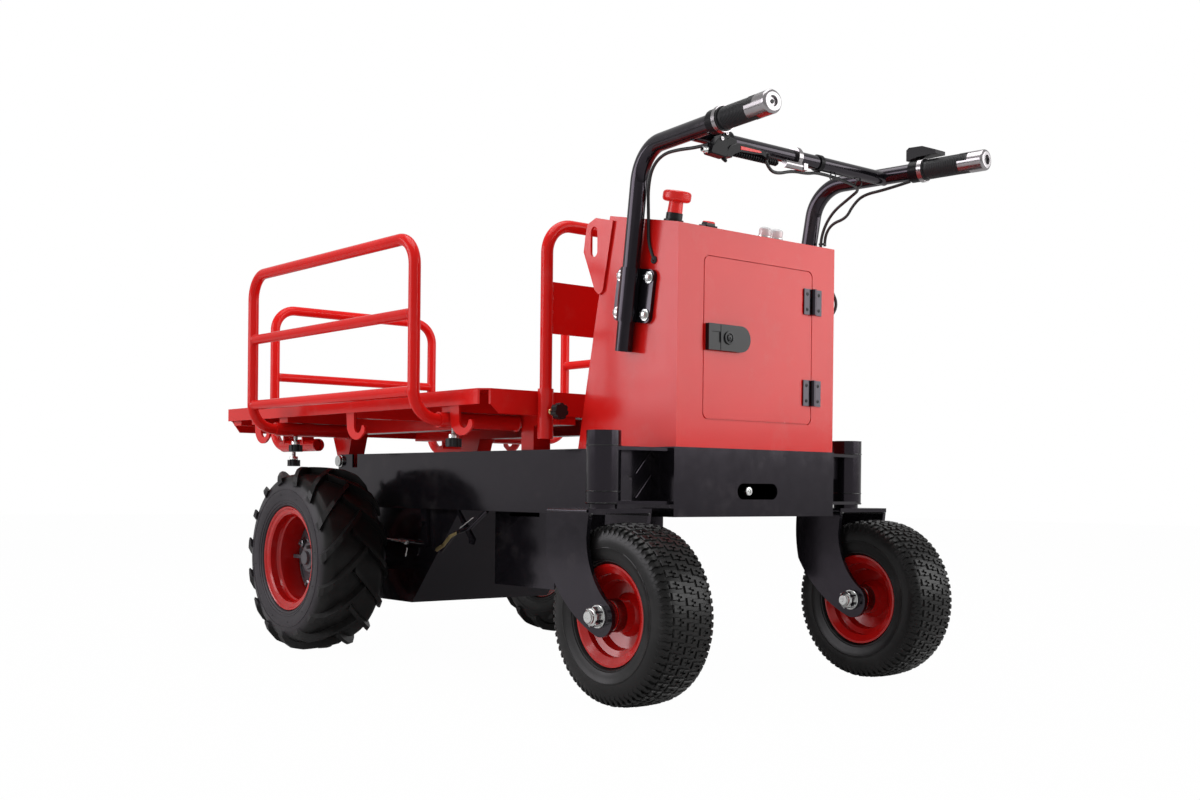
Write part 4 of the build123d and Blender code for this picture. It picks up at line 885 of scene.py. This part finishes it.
class DUMPER_OT_handle_bolts(bpy.types.Operator):
    """Make the handlebar clamps' bolts, the sling-slot bolt, the cable clip's screws and the pivot pin's washers"""
    bl_idname = "dumper.handle_bolts"
    bl_label = "Handlebar bolts"

    def execute(self, context):
        mid = centre_of("handle_clamps")
        face = BOX_SIDE_Y + 0.008
        up, across = Vector((-0.150, 0, 0.989)), Vector((0.989, 0, 0.150))
        tree = spot_tree()
        bolts = []
        for way in (1, -1):
            bolt = bmesh.new()
            hex_bolt(bolt, (0, 0, 0), (0, 0, 1), 0.0112, 0.52, 0.4)
            spots = [Vector((mid.x, way * face, mid.z)) + across * a + up * b
                     for a in (-CLAMP_BOLT_ACROSS, CLAMP_BOLT_ACROSS) for b in (-CLAMP_BOLT_UP, CLAMP_BOLT_UP)]
            bolts.append(grown(tree, bolt, "zinc", {"Turn": turn_to((0, way, 0))}, spots))
        grown_piece("handle_clamp_bolts", bolts, "zinc", "chassis")
        bm = bmesh.new()
        lathe(bm, [(0.0060, -0.006), (0.0078, -0.0056), (0.0084, -0.0040), (0.0084, 0.0030), (0.0076, 0.0044),
                   (0.0046, 0.0046), (0.0042, 0.0026), (0.0016, 0.0026), (0.0014, 0.0050), (0, 0.0052)],
              frame_at(SLING_BOLT, (-1, 0, 0)), 32)
        mesh_piece("sling_slot_bolt", bm, "zinc", "chassis")
        bm = bmesh.new()
        for z in CLIP_SCREWS_Z:
            hex_bolt(bm, (CLIP_SCREWS_X, -BOX_SIDE_Y, z), (0, -1, 0), 0.010, 0.5, 0.1)
        mesh_piece("cable_clip_screws", bm, "zinc", "chassis")
        pin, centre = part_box("tip_pivot_pin"), centre_of("tip_pivot_pin")
        bm = bmesh.new()
        for way in (1, -1):
            at = Vector((centre.x, pin[1].y if way > 0 else pin[0].y, centre.z))
            lathe(bm, [(0.0134, -0.0088), (0.0150, -0.0084), (0.0150, -0.0062), (0.0134, -0.0058)],
                  frame_at(at, (0, way, 0)), 32)
            lathe(bm, [(0.0040, -0.0004), (0.0040, 0.0004), (0, 0.0006)], frame_at(at, (0, way, 0)), 16)
        mesh_piece("pivot_pin_washers", bm, "zinc", "chassis")
        return {"FINISHED"}


# in mm from the drive axle: the crossbar's face and height, and a handlebar's distance from the middle
FACE, HIGH, SIDE = -1143.5, 984.0, 241.3
#          name            length, m  route from the hand control into the cabinet, in mm
CABLES = (("brake_cable", 0.325, (
              (FACE - 11, 242, HIGH - 21), (-1128, 248, HIGH - 23), (-1088, 249, HIGH - 19),
              (-1040, 243, HIGH - 17), (-1003, 236, HIGH - 34), (-985, 228, HIGH - 68), (-975, 218, HIGH - 102),
              (-972, 214.3, 850), (-973, 214.3, 815), (-985, 211, 790))),
          ("release_cable", 0.702, (
              (FACE - 12, 103, HIGH - 24), (FACE - 11, 93, HIGH - 40), (FACE - 8, 68, HIGH - 44),
              (FACE - 2, 20, HIGH - 30), (-1136, -30, HIGH - 26), (-1130, -65, HIGH - 17),
              (-1126, -150, HIGH - 20), (-1106, -218, HIGH - 21),
              (-1060, -SIDE, HIGH - 28), (-1012, -SIDE, HIGH - 52), (-985, -SIDE, HIGH - 95),
              (-981, -SIDE - 6, 840), (-1004, -SIDE - 8, 786), (-1022, -SIDE - 14, 746),
              (-1012, -SIDE + 10, 712), (-996, -211, 702))),
          ("throttle_cable", 0.244, (
              (-1190, -263, HIGH - 14), (-1140, -253, HIGH - 23), (-1088, -SIDE - 6, HIGH - 26),
              (-1062, -SIDE - 6, HIGH - 44), (-1046, -SIDE - 6, HIGH - 66), (-1008, -SIDE - 6, HIGH - 72),
              (-990, -SIDE - 6, HIGH - 96), (-988, -SIDE - 10, 870))))
CABLE_D = 0.006
#         place and direction of each cable tie, in mm
TIES = ((-985.5, -246.0, 874.0, (0.05, -0.1, -1)), (-985.0, -246.5, 852.0, (0.05, -0.1, -1)),
        (-1128.0, -110.0, 966.5, (0, 1, 0)), (-1128.0, -185.0, 964.5, (-0.15, 1, 0)))


class DUMPER_OT_cables(bpy.types.Operator):
    """Make the three control cables and their ties"""
    bl_idname = "dumper.cables"
    bl_label = "Control cables"

    def execute(self, context):
        for name, length, route in CABLES:
            route = [(along_x(x), y / 1000, z / 1000) for x, y, z in route]
            curve = bpy.data.curves.new(name, "CURVE")
            curve.dimensions, curve.bevel_depth, curve.bevel_resolution = "3D", CABLE_D / 2, 3
            curve.resolution_u, curve.use_fill_caps = 10, True
            spline = curve.splines.new("NURBS")
            spline.points.add(len(route) - 1)
            for point, place in zip(spline.points, route):
                point.co = (*place, 1.0)
            spline.order_u, spline.use_endpoint_u = 3, True
            cable = bpy.data.objects.new(name, curve)
            context.scene.collection.objects.link(cable)
            curve.materials.append(FINISHES["cable_black"])
            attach(cable, "chassis")
            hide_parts("control_cables")
        bm = bmesh.new()
        for x, y, z, way in TIES:
            lathe(bm, [(0.0066, -0.0018), (0.0074, -0.0016), (0.0074, 0.0016), (0.0066, 0.0018)],
                  frame_at((along_x(x), y / 1000, z / 1000), way), 20, closed=True)
        mesh_piece("cable_ties", bm, "cable_black", "chassis")
        return {"FINISHED"}


#             start, end (X and Z) and radius of each rod of the parking brake
BRAKE_RODS = (((0.384, 0.2515), (0.2875, 0.2464), 0.0024), ((0.2851, 0.2347), (0.2933, 0.2141), 0.0026),
              ((0.0734, 0.2847), (0.0208, 0.3098), 0.0014))


class DUMPER_OT_brake_rods(bpy.types.Operator):
    """Make the bright rods, link and pins of the parking brake"""
    bl_idname = "dumper.brake_rods"
    bl_label = "Brake rods"

    def execute(self, context):
        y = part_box("brake_linkage")[1].y + 0.001
        bm = bmesh.new()
        for (x0, z0), (x1, z1), radius in BRAKE_RODS:
            run = Vector((x1, y, z1)) - Vector((x0, y, z0))
            lathe(bm, [(0, 0), (radius, 0.0004), (radius, run.length - 0.0004), (0, run.length)],
                  frame_at((x0, y, z0), run), 14)
        lathe(bm, [(0.0036, -0.005), (0.0058, -0.0044), (0.0058, 0.0044), (0.0036, 0.005)],
              frame_at((0.2890, y, 0.2466), (1, 0, 0)), 18)
        mesh_piece("brake_rods", bm, "zinc", "chassis")
        bm = bmesh.new()
        outline = [(0.1720, 0.2320), (0.1660, 0.2300), (0.1380, 0.2420), (0.1120, 0.2620), (0.0905, 0.2700),
                   (0.0900, 0.2760), (0.1150, 0.2690), (0.1420, 0.2490), (0.1690, 0.2372)]
        side_on = Matrix(((1, 0, 0, 0), (0, 0, 1, y - 0.004), (0, 1, 0, 0), (0, 0, 0, 1)))
        prism(bm, outline, 0.0, 0.003, side_on, 0.0005)
        mesh_piece("brake_link", bm, "brass", "chassis")
        return {"FINISHED"}


def across_bar(back, z=0):
    """Placement for an outline in Y and Z, with its growth in X, at a distance behind the crossbar's face."""
    upright = Matrix(((0, 0, 1, 0), (1, 0, 0, 0), (0, 1, 0, 0), (0, 0, 0, 1)))
    return Matrix.Translation((BAR_FACE_X - back, 0, z)) @ upright


def island_of(seed):
    """All vertices that hang together with one."""
    island, edge = {seed}, [seed]
    while edge:
        near = {e.other_vert(v) for v in edge for e in v.link_edges} - island
        island |= near
        edge = list(near)
    return list(island)


LEVER_FROM_Y, LEVER_TO_Y = 0.05, 0.16


class DUMPER_OT_brake_lever(bpy.types.Operator):
    """Make the brake lever with its perch, ball end and ribbed rod, and carry the other hand controls over"""
    bl_idname = "dumper.brake_lever"
    bl_label = "Brake lever"

    def execute(self, context):
        bm = bmesh.new()
        bm.from_mesh(NODES["hand_controls"].data)
        bmesh.ops.remove_doubles(bm, verts=bm.verts, dist=DOUBLES)
        for seed in [v for v in bm.verts if LEVER_FROM_Y < v.co.y < LEVER_TO_Y]:
            if seed.is_valid:
                bmesh.ops.delete(bm, geom=island_of(seed), context="VERTS")
        others = mesh_piece("throttle_and_collars", bm, "lever_black", "chassis")
        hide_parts("hand_controls")
        bm = bmesh.new()
        lathe(bm, [(0.0131, -0.009), (0.0172, -0.009), (0.0180, -0.0082), (0.0180, 0.0082), (0.0172, 0.009),
                   (0.0131, 0.009)], frame_at((BAR_X, 0.181, BAR_Z), (0, 1, 0)), 40, closed=True)
        prism(bm, [(0.2475, 0.9485), (0.2450, 0.9460), (0.2100, 0.9440), (0.2060, 0.9480), (0.2060, 0.9740),
                   (0.2110, 0.9800), (0.2216, 0.9815), (0.2290, 0.9740), (0.2440, 0.9580)],
              0.0, 0.0200, across_bar(0.0225), 0.0016)
        prism(bm, [(0.2060, 0.9480), (0.1900, 0.9480), (0.1780, 0.9640), (0.1780, 0.9800), (0.2000, 0.9830),
                   (0.2060, 0.9760)], 0.0, 0.0150, across_bar(0.0165), 0.0012)
        lathe(bm, [(0, -0.003), (0.0088, -0.003), (0.0098, -0.002), (0.0098, 0.0155), (0.0088, 0.0165),
                   (0.0050, 0.0165)], frame_at((BAR_FACE_X - 0.0030, 0.2075, 0.9860), (-1, 0, 0)), 28)
        lathe(bm, [(0, 0.0), (0.0040, 0.0), (0.0044, 0.0010), (0.0030, 0.0085), (0.0018, 0.0100), (0, 0.0104)],
              frame_at((BAR_FACE_X - 0.0120, 0.2080, 0.9460), (0, -0.62, -0.5)), 14)
        mesh_piece("lever_perch", bm, "lever_black", "chassis")
        bm = bmesh.new()
        prism(bm, [(0.2110, 0.9500), (0.2030, 0.9600), (0.1950, 0.9682), (0.1820, 0.9737), (0.1576, 0.9758),
                   (0.1284, 0.9746), (0.1154, 0.9713), (0.1070, 0.9680), (0.1075, 0.9600), (0.1170, 0.9632),
                   (0.1414, 0.9613), (0.1755, 0.9596), (0.1885, 0.9539), (0.1999, 0.9468), (0.2080, 0.9460)],
              0.0, 0.0095, across_bar(0.0205), 0.0016)
        ball = 0.0068
        lathe(bm, [(ball * math.sin(math.pi * n / 10), -ball * math.cos(math.pi * n / 10)) for n in range(11)],
              frame_at((BAR_FACE_X - 0.0158, 0.1046, 0.9642), (1, 0, 0)), 24)
        mesh_piece("lever_blade", bm, "lever_black", "chassis")
        bm = bmesh.new()
        rod = [(0, 0)]
        for n in range(20):
            start = 0.0006 + 0.0060 * n
            rod += [(0.0046, start), (0.0064, start + 0.0006), (0.0064, start + 0.0030), (0.0046, start + 0.0036)]
        lathe(bm, rod + [(0.0046, 0.1210), (0, 0.1210)],
              frame_at((BAR_FACE_X - 0.0080, 0.1900, 0.9595), (0, -1, 0)), 20)
        mesh_piece("lever_rod", bm, "lever_black", "chassis")
        bm = bmesh.new()
        for at in ((BAR_FACE_X - 0.0195, 0.2075, 0.9860), (BAR_FACE_X - 0.0225, 0.2216, 0.9740)):
            lathe(bm, [(0.0036, -0.001), (0.0036, 0.0014), (0.0030, 0.0022), (0.0016, 0.0022), (0.0014, 0.0010),
                       (0, 0.0010)], frame_at(at, (-1, 0, 0)), 20)
        mesh_piece("lever_screws", bm, "bright_steel", "chassis")
        return {"FINISHED"}


class DUMPER_OT_controls_trim(bpy.types.Operator):
    """Make the lever's red insert, the cable adjuster and the cable grommets"""
    bl_idname = "dumper.controls_trim"
    bl_label = "Hand control trim"

    def execute(self, context):
        bm = bmesh.new()
        prism(bm, [(0.121, -0.0168), (0.126, -0.0148), (0.174, -0.0144), (0.174, -0.0204), (0.126, -0.0186)],
              -0.0008, 0.0008, across_bar(0.0205, BAR_Z), 0.0003)
        mesh_piece("lever_insert", bm, "red_plastic", "chassis")
        bm = bmesh.new()
        lathe(bm, [(0.0034, 0), (0.0058, 0.0004), (0.0058, 0.0060), (0.0046, 0.0066), (0.0046, 0.0120),
                   (0.0034, 0.0126)],
              frame_at((BAR_FACE_X - 0.0115, 0.2455, BAR_Z - 0.0315), (0, 1, 0)), 20)
        mesh_piece("cable_adjuster", bm, "zinc", "chassis")
        bm = bmesh.new()
        for x, way, z in GROMMETS:
            lathe(bm, [(0.0031, 0.0030), (0.0052, 0.0034), (0.0070, 0.0024), (0.0074, 0.0006), (0.0070, -0.0004)],
                  frame_at((x, way * BOX_SIDE_Y, z), (0, way, 0)), 28)
        mesh_piece("cable_grommets", bm, "grip_rubber", "chassis")
        return {"FINISHED"}


# ======== knobs: bright neck and threaded stem on each lobed head
class DUMPER_OT_knob_stems(bpy.types.Operator):
    """Make the threaded stems and bright collars of the clamp knobs"""
    bl_idname = "dumper.knob_stems"
    bl_label = "Knob stems"

    def execute(self, context):
        stems = {"zinc": bmesh.new(), "brass": bmesh.new()}
        for place in KNOB_PLACES:
            bm = stems["brass" if place[3] else "zinc"]
            for way in (1, -1):
                origin, axis = Vector(place[:3]), Vector(place[3:])
                origin.y *= way
                axis.y *= way
                at = frame_at(origin, axis)
                profile = []
                for n in range(11):
                    z = n * 0.0012
                    profile += [(0.0047, z), (0.0052, z + 0.0006)]
                lathe(bm, profile + [(0.0047, 0.0133)], at, 20)
                lathe(bm, [(0.0100, 0.0116), (0.0104, 0.0122), (0.0104, 0.0192), (0.0100, 0.0196)], at, 28)
        for finish, bm in stems.items():
            mesh_piece(f"knob_stems_{finish}", bm, finish, "deck")
        return {"FINISHED"}


# ======== welds on the rails, headboard, deck frame and receivers
#           radius, thickness and ripples of the welds at a middle bar's ends and round a receiver
BAR_WELD, RECEIVER_WELD = (0.0106, 0.0014, 20), (0.0158, 0.0022, 24)


class DUMPER_OT_rail_welds(bpy.types.Operator):
    """Make the weld beads of the rails, headboard, deck and receivers"""
    bl_idname = "dumper.rail_welds"
    bl_label = "Rail welds"

    def execute(self, context):
        for side, way in SIDES:
            low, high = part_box(f"side_rail_{side}")
            y = way * (max(abs(low.y), abs(high.y)) - RAIL_TUBE_R)
            bm = bmesh.new()
            for z in SIDE_BARS_Z:
                for x, inward in ((low.x + RAIL_TUBE_R, 1), (high.x - RAIL_TUBE_R, -1)):
                    ring_weld(bm, (x + inward * BAR_SEAT, y, z), (1, 0, 0), *BAR_WELD)
            mesh_piece(f"side_rail_welds_{side}", bm, "weld_red", f"side_rail_{side}")
        low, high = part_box("front_rail")
        bm = bmesh.new()
        for inward, y in ((-1, high.y - RAIL_TUBE_R), (1, low.y + RAIL_TUBE_R)):
            ring_weld(bm, (high.x - RAIL_TUBE_R, y + inward * BAR_SEAT, FRONT_BAR_Z), (0, 1, 0), *BAR_WELD)
        mesh_piece("front_rail_welds", bm, "weld_red", "front_rail")
        low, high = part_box("headboard")
        x = (low.x + high.x) / 2
        bm = bmesh.new()
        for inward, tube_y in ((-1, high.y - RAIL_TUBE_R), (1, low.y + RAIL_TUBE_R)):
            y = tube_y + inward * 0.0124
            for z in PLATE_WELDS_Z:
                for face in (1, -1):
                    weld(bm, (x + face * 0.0024, y, z - 0.007), (x + face * 0.0024, y, z + 0.007), 0.0022, 0.0026)
        mesh_piece("headboard_welds", bm, "weld_red", "headboard")
        bm = bmesh.new()
        low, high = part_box("deck_floor")
        for way in (1, -1):
            for x in HOOK_POSTS_X:
                weld(bm, (x, way * 0.180, 0.4985), (x, way * 0.2045, 0.4985), 0.0026, 0.0034)
            y = way * (high.y - 0.018)
            for x in (low.x + 0.0014, high.x - 0.0014):
                weld(bm, (x, y, high.z - 0.030), (x, y, high.z - 0.006), 0.0018, 0.0028)
        mesh_piece("deck_welds", bm, "weld_red", "deck")
        bm = bmesh.new()
        for way in (1, -1):
            for x in RECEIVERS_X:
                ring_weld(bm, (x, way * (LONG_FACE_Y + 0.006), RECEIVER_Z), (0, 1, 0), *RECEIVER_WELD)
        mesh_piece("receiver_welds", bm, "weld_red", "deck")
        return {"FINISHED"}


# ======== stage
#            place, aim, width, height, power and colour of each soft box
SOFT_BOXES = {"key": ((-3.9, -2.6, 1.80), (-0.6, 0.0, 0.80), 4.6, 2.3, 108, (1, 1, 1)),
              "side": ((1.9, 3.9, 1.75), (0.0, 0.1, 0.6), 3.6, 2.0, 88, (0.98, 0.95, 1.0)),
              "top": ((-0.2, 0.3, 3.4), (0.0, 0.0, 0.0), 2.6, 2.6, 70, (1, 1, 1))}
AMBIENT, FLOOR_REACH, WHITE = 0.42, 14.0, (1, 1, 1, 1)
#      how much of flat white shows over the lit world and floor: straight, and in reflections
WORLD_WHITE, FLOOR_WHITE = (1.0, 0.25), (0.988, 0.06)
CAMERA_PLACE, CAMERA_YAW, CAMERA_PITCH, CAMERA_ROLL = (-2.3993, 1.8798, 0.3743), 0.6944, -0.0029, 0.0107
SENSOR_WIDE, LENS, LENS_SHIFT, CLIP_END = 36.0, 41.148, (0.001, 0.0768), 60


def soft_box(name, place, aim, width, height, power, colour):
    light = bpy.data.lights.new(name, "AREA")
    light.shape, light.size, light.size_y, light.energy, light.color = "RECTANGLE", width, height, power, colour
    lamp = bpy.data.objects.new(name, light)
    lamp.location = place
    lamp.rotation_euler = (Vector(aim) - Vector(place)).to_track_quat("-Z", "Y").to_euler()
    bpy.context.scene.collection.objects.link(lamp)


def pale_where_seen(tree, lit, white_kind, seen, mirrored):
    """Show flat white over what lights the object: shares for the camera and lenses, and for reflections."""
    path = grow_node(tree, "ShaderNodeLightPath")
    share = None
    for ray, weight in (("Is Camera Ray", seen), ("Is Transmission Ray", seen), ("Is Glossy Ray", mirrored)):
        part = grow_node(tree, "ShaderNodeMath", {"operation": "MULTIPLY"}, {1: weight}, {0: path.outputs[ray]})
        if share:
            part = grow_node(tree, "ShaderNodeMath", {"operation": "MAXIMUM"}, {},
                             {0: share.outputs[0], 1: part.outputs[0]})
        share = part
    white = grow_node(tree, white_kind, {}, {"Color": WHITE, "Strength": 1.0})
    blend = grow_node(tree, "ShaderNodeMixShader", {}, {}, {0: share.outputs[0], 1: lit.outputs[0],
                                                           2: white.outputs[0]})
    return blend.outputs[0]


class DUMPER_OT_stage(bpy.types.Operator):
    """Make the floor, the backdrop light and the camera"""
    bl_idname = "dumper.stage"
    bl_label = "Stage"

    def execute(self, context):
        scene = context.scene
        scene.view_settings.view_transform = "Standard"
        world = bpy.data.worlds.new("studio")
        scene.world = world
        world.use_nodes = True
        tree = world.node_tree
        ambient = tree.nodes["Background"]
        ambient.inputs["Color"].default_value = WHITE
        ambient.inputs["Strength"].default_value = AMBIENT
        shown = pale_where_seen(tree, ambient, "ShaderNodeBackground", *WORLD_WHITE)
        tree.links.new(shown, tree.nodes["World Output"].inputs["Surface"])

        mesh = bpy.data.meshes.new("floor")
        corners = ((-1, -1), (1, -1), (1, 1), (-1, 1))
        mesh.from_pydata([(x * FLOOR_REACH, y * FLOOR_REACH, 0) for x, y in corners], [], [(0, 1, 2, 3)])
        floor = bpy.data.objects.new("floor", mesh)
        scene.collection.objects.link(floor)
        pale = bpy.data.materials.new("pale_floor")
        pale.use_nodes = True
        tree = pale.node_tree
        matt = grow_node(tree, "ShaderNodeBsdfDiffuse", {}, {"Color": (0.62, 0.62, 0.62, 1)})
        shown = pale_where_seen(tree, matt, "ShaderNodeEmission", *FLOOR_WHITE)
        tree.links.new(shown, tree.nodes["Material Output"].inputs["Surface"])
        mesh.materials.append(pale)

        for name, facts in SOFT_BOXES.items():
            soft_box(name, *facts)

        lens = bpy.data.cameras.new("camera")
        lens.sensor_width, lens.lens = SENSOR_WIDE, LENS
        lens.shift_x, lens.shift_y = LENS_SHIFT
        lens.clip_end = CLIP_END
        camera = bpy.data.objects.new("camera", lens)
        scene.collection.objects.link(camera)
        ahead = Vector((math.cos(CAMERA_YAW) * math.cos(CAMERA_PITCH), -math.sin(CAMERA_YAW) * math.cos(CAMERA_PITCH),
                        math.sin(CAMERA_PITCH)))
        right = Vector((-math.sin(CAMERA_YAW), -math.cos(CAMERA_YAW), 0.0))
        up = right.cross(ahead)
        tilted = right * math.cos(CAMERA_ROLL) + up * math.sin(CAMERA_ROLL)
        raised = up * math.cos(CAMERA_ROLL) - right * math.sin(CAMERA_ROLL)
        turn = Matrix((tilted, raised, -ahead)).transposed()
        camera.matrix_world = Matrix.Translation(CAMERA_PLACE) @ turn.to_4x4()
        scene.camera = camera
        return {"FINISHED"}


class DUMPER_PT_panel(bpy.types.Panel):
    """Lists the dressing steps"""
    bl_idname = "DUMPER_PT_panel"
    bl_label = "Site dumper"
    bl_space_type = "VIEW_3D"
    bl_region_type = "UI"
    bl_category = "Dumper"

    def draw(self, context):
        values = context.scene.dumper_settings
        for name in values.bl_rna.properties.keys():
            if name not in ("rna_type", "name"):
                self.layout.prop(values, name)
        for step in STEPS:
            self.layout.operator(step.bl_idname)


STEPS = (DUMPER_OT_finishes, DUMPER_OT_caster_tyres, DUMPER_OT_drive_wheels, DUMPER_OT_caster_hardware,
         DUMPER_OT_door_fittings, DUMPER_OT_lid_controls, DUMPER_OT_grips, DUMPER_OT_handle_bolts,
         DUMPER_OT_controls_trim, DUMPER_OT_brake_rods, DUMPER_OT_brake_lever, DUMPER_OT_cables,
         DUMPER_OT_knob_stems, DUMPER_OT_rail_welds, DUMPER_OT_stage)


def register():
    for kind in (DumperSettings, *STEPS, DUMPER_PT_panel):
        bpy.utils.register_class(kind)
    bpy.types.Scene.dumper_settings = bpy.props.PointerProperty(type=DumperSettings)


def unregister():
    del bpy.types.Scene.dumper_settings
    for kind in (DUMPER_PT_panel, *reversed(STEPS), DumperSettings):
        bpy.utils.unregister_class(kind)


def main():
    register()
    for step in STEPS:
        group, name = step.bl_idname.split(".")
        getattr(getattr(bpy.ops, group), name)()
    bpy.context.view_layer.update()


if __name__ == "__main__":
    main()
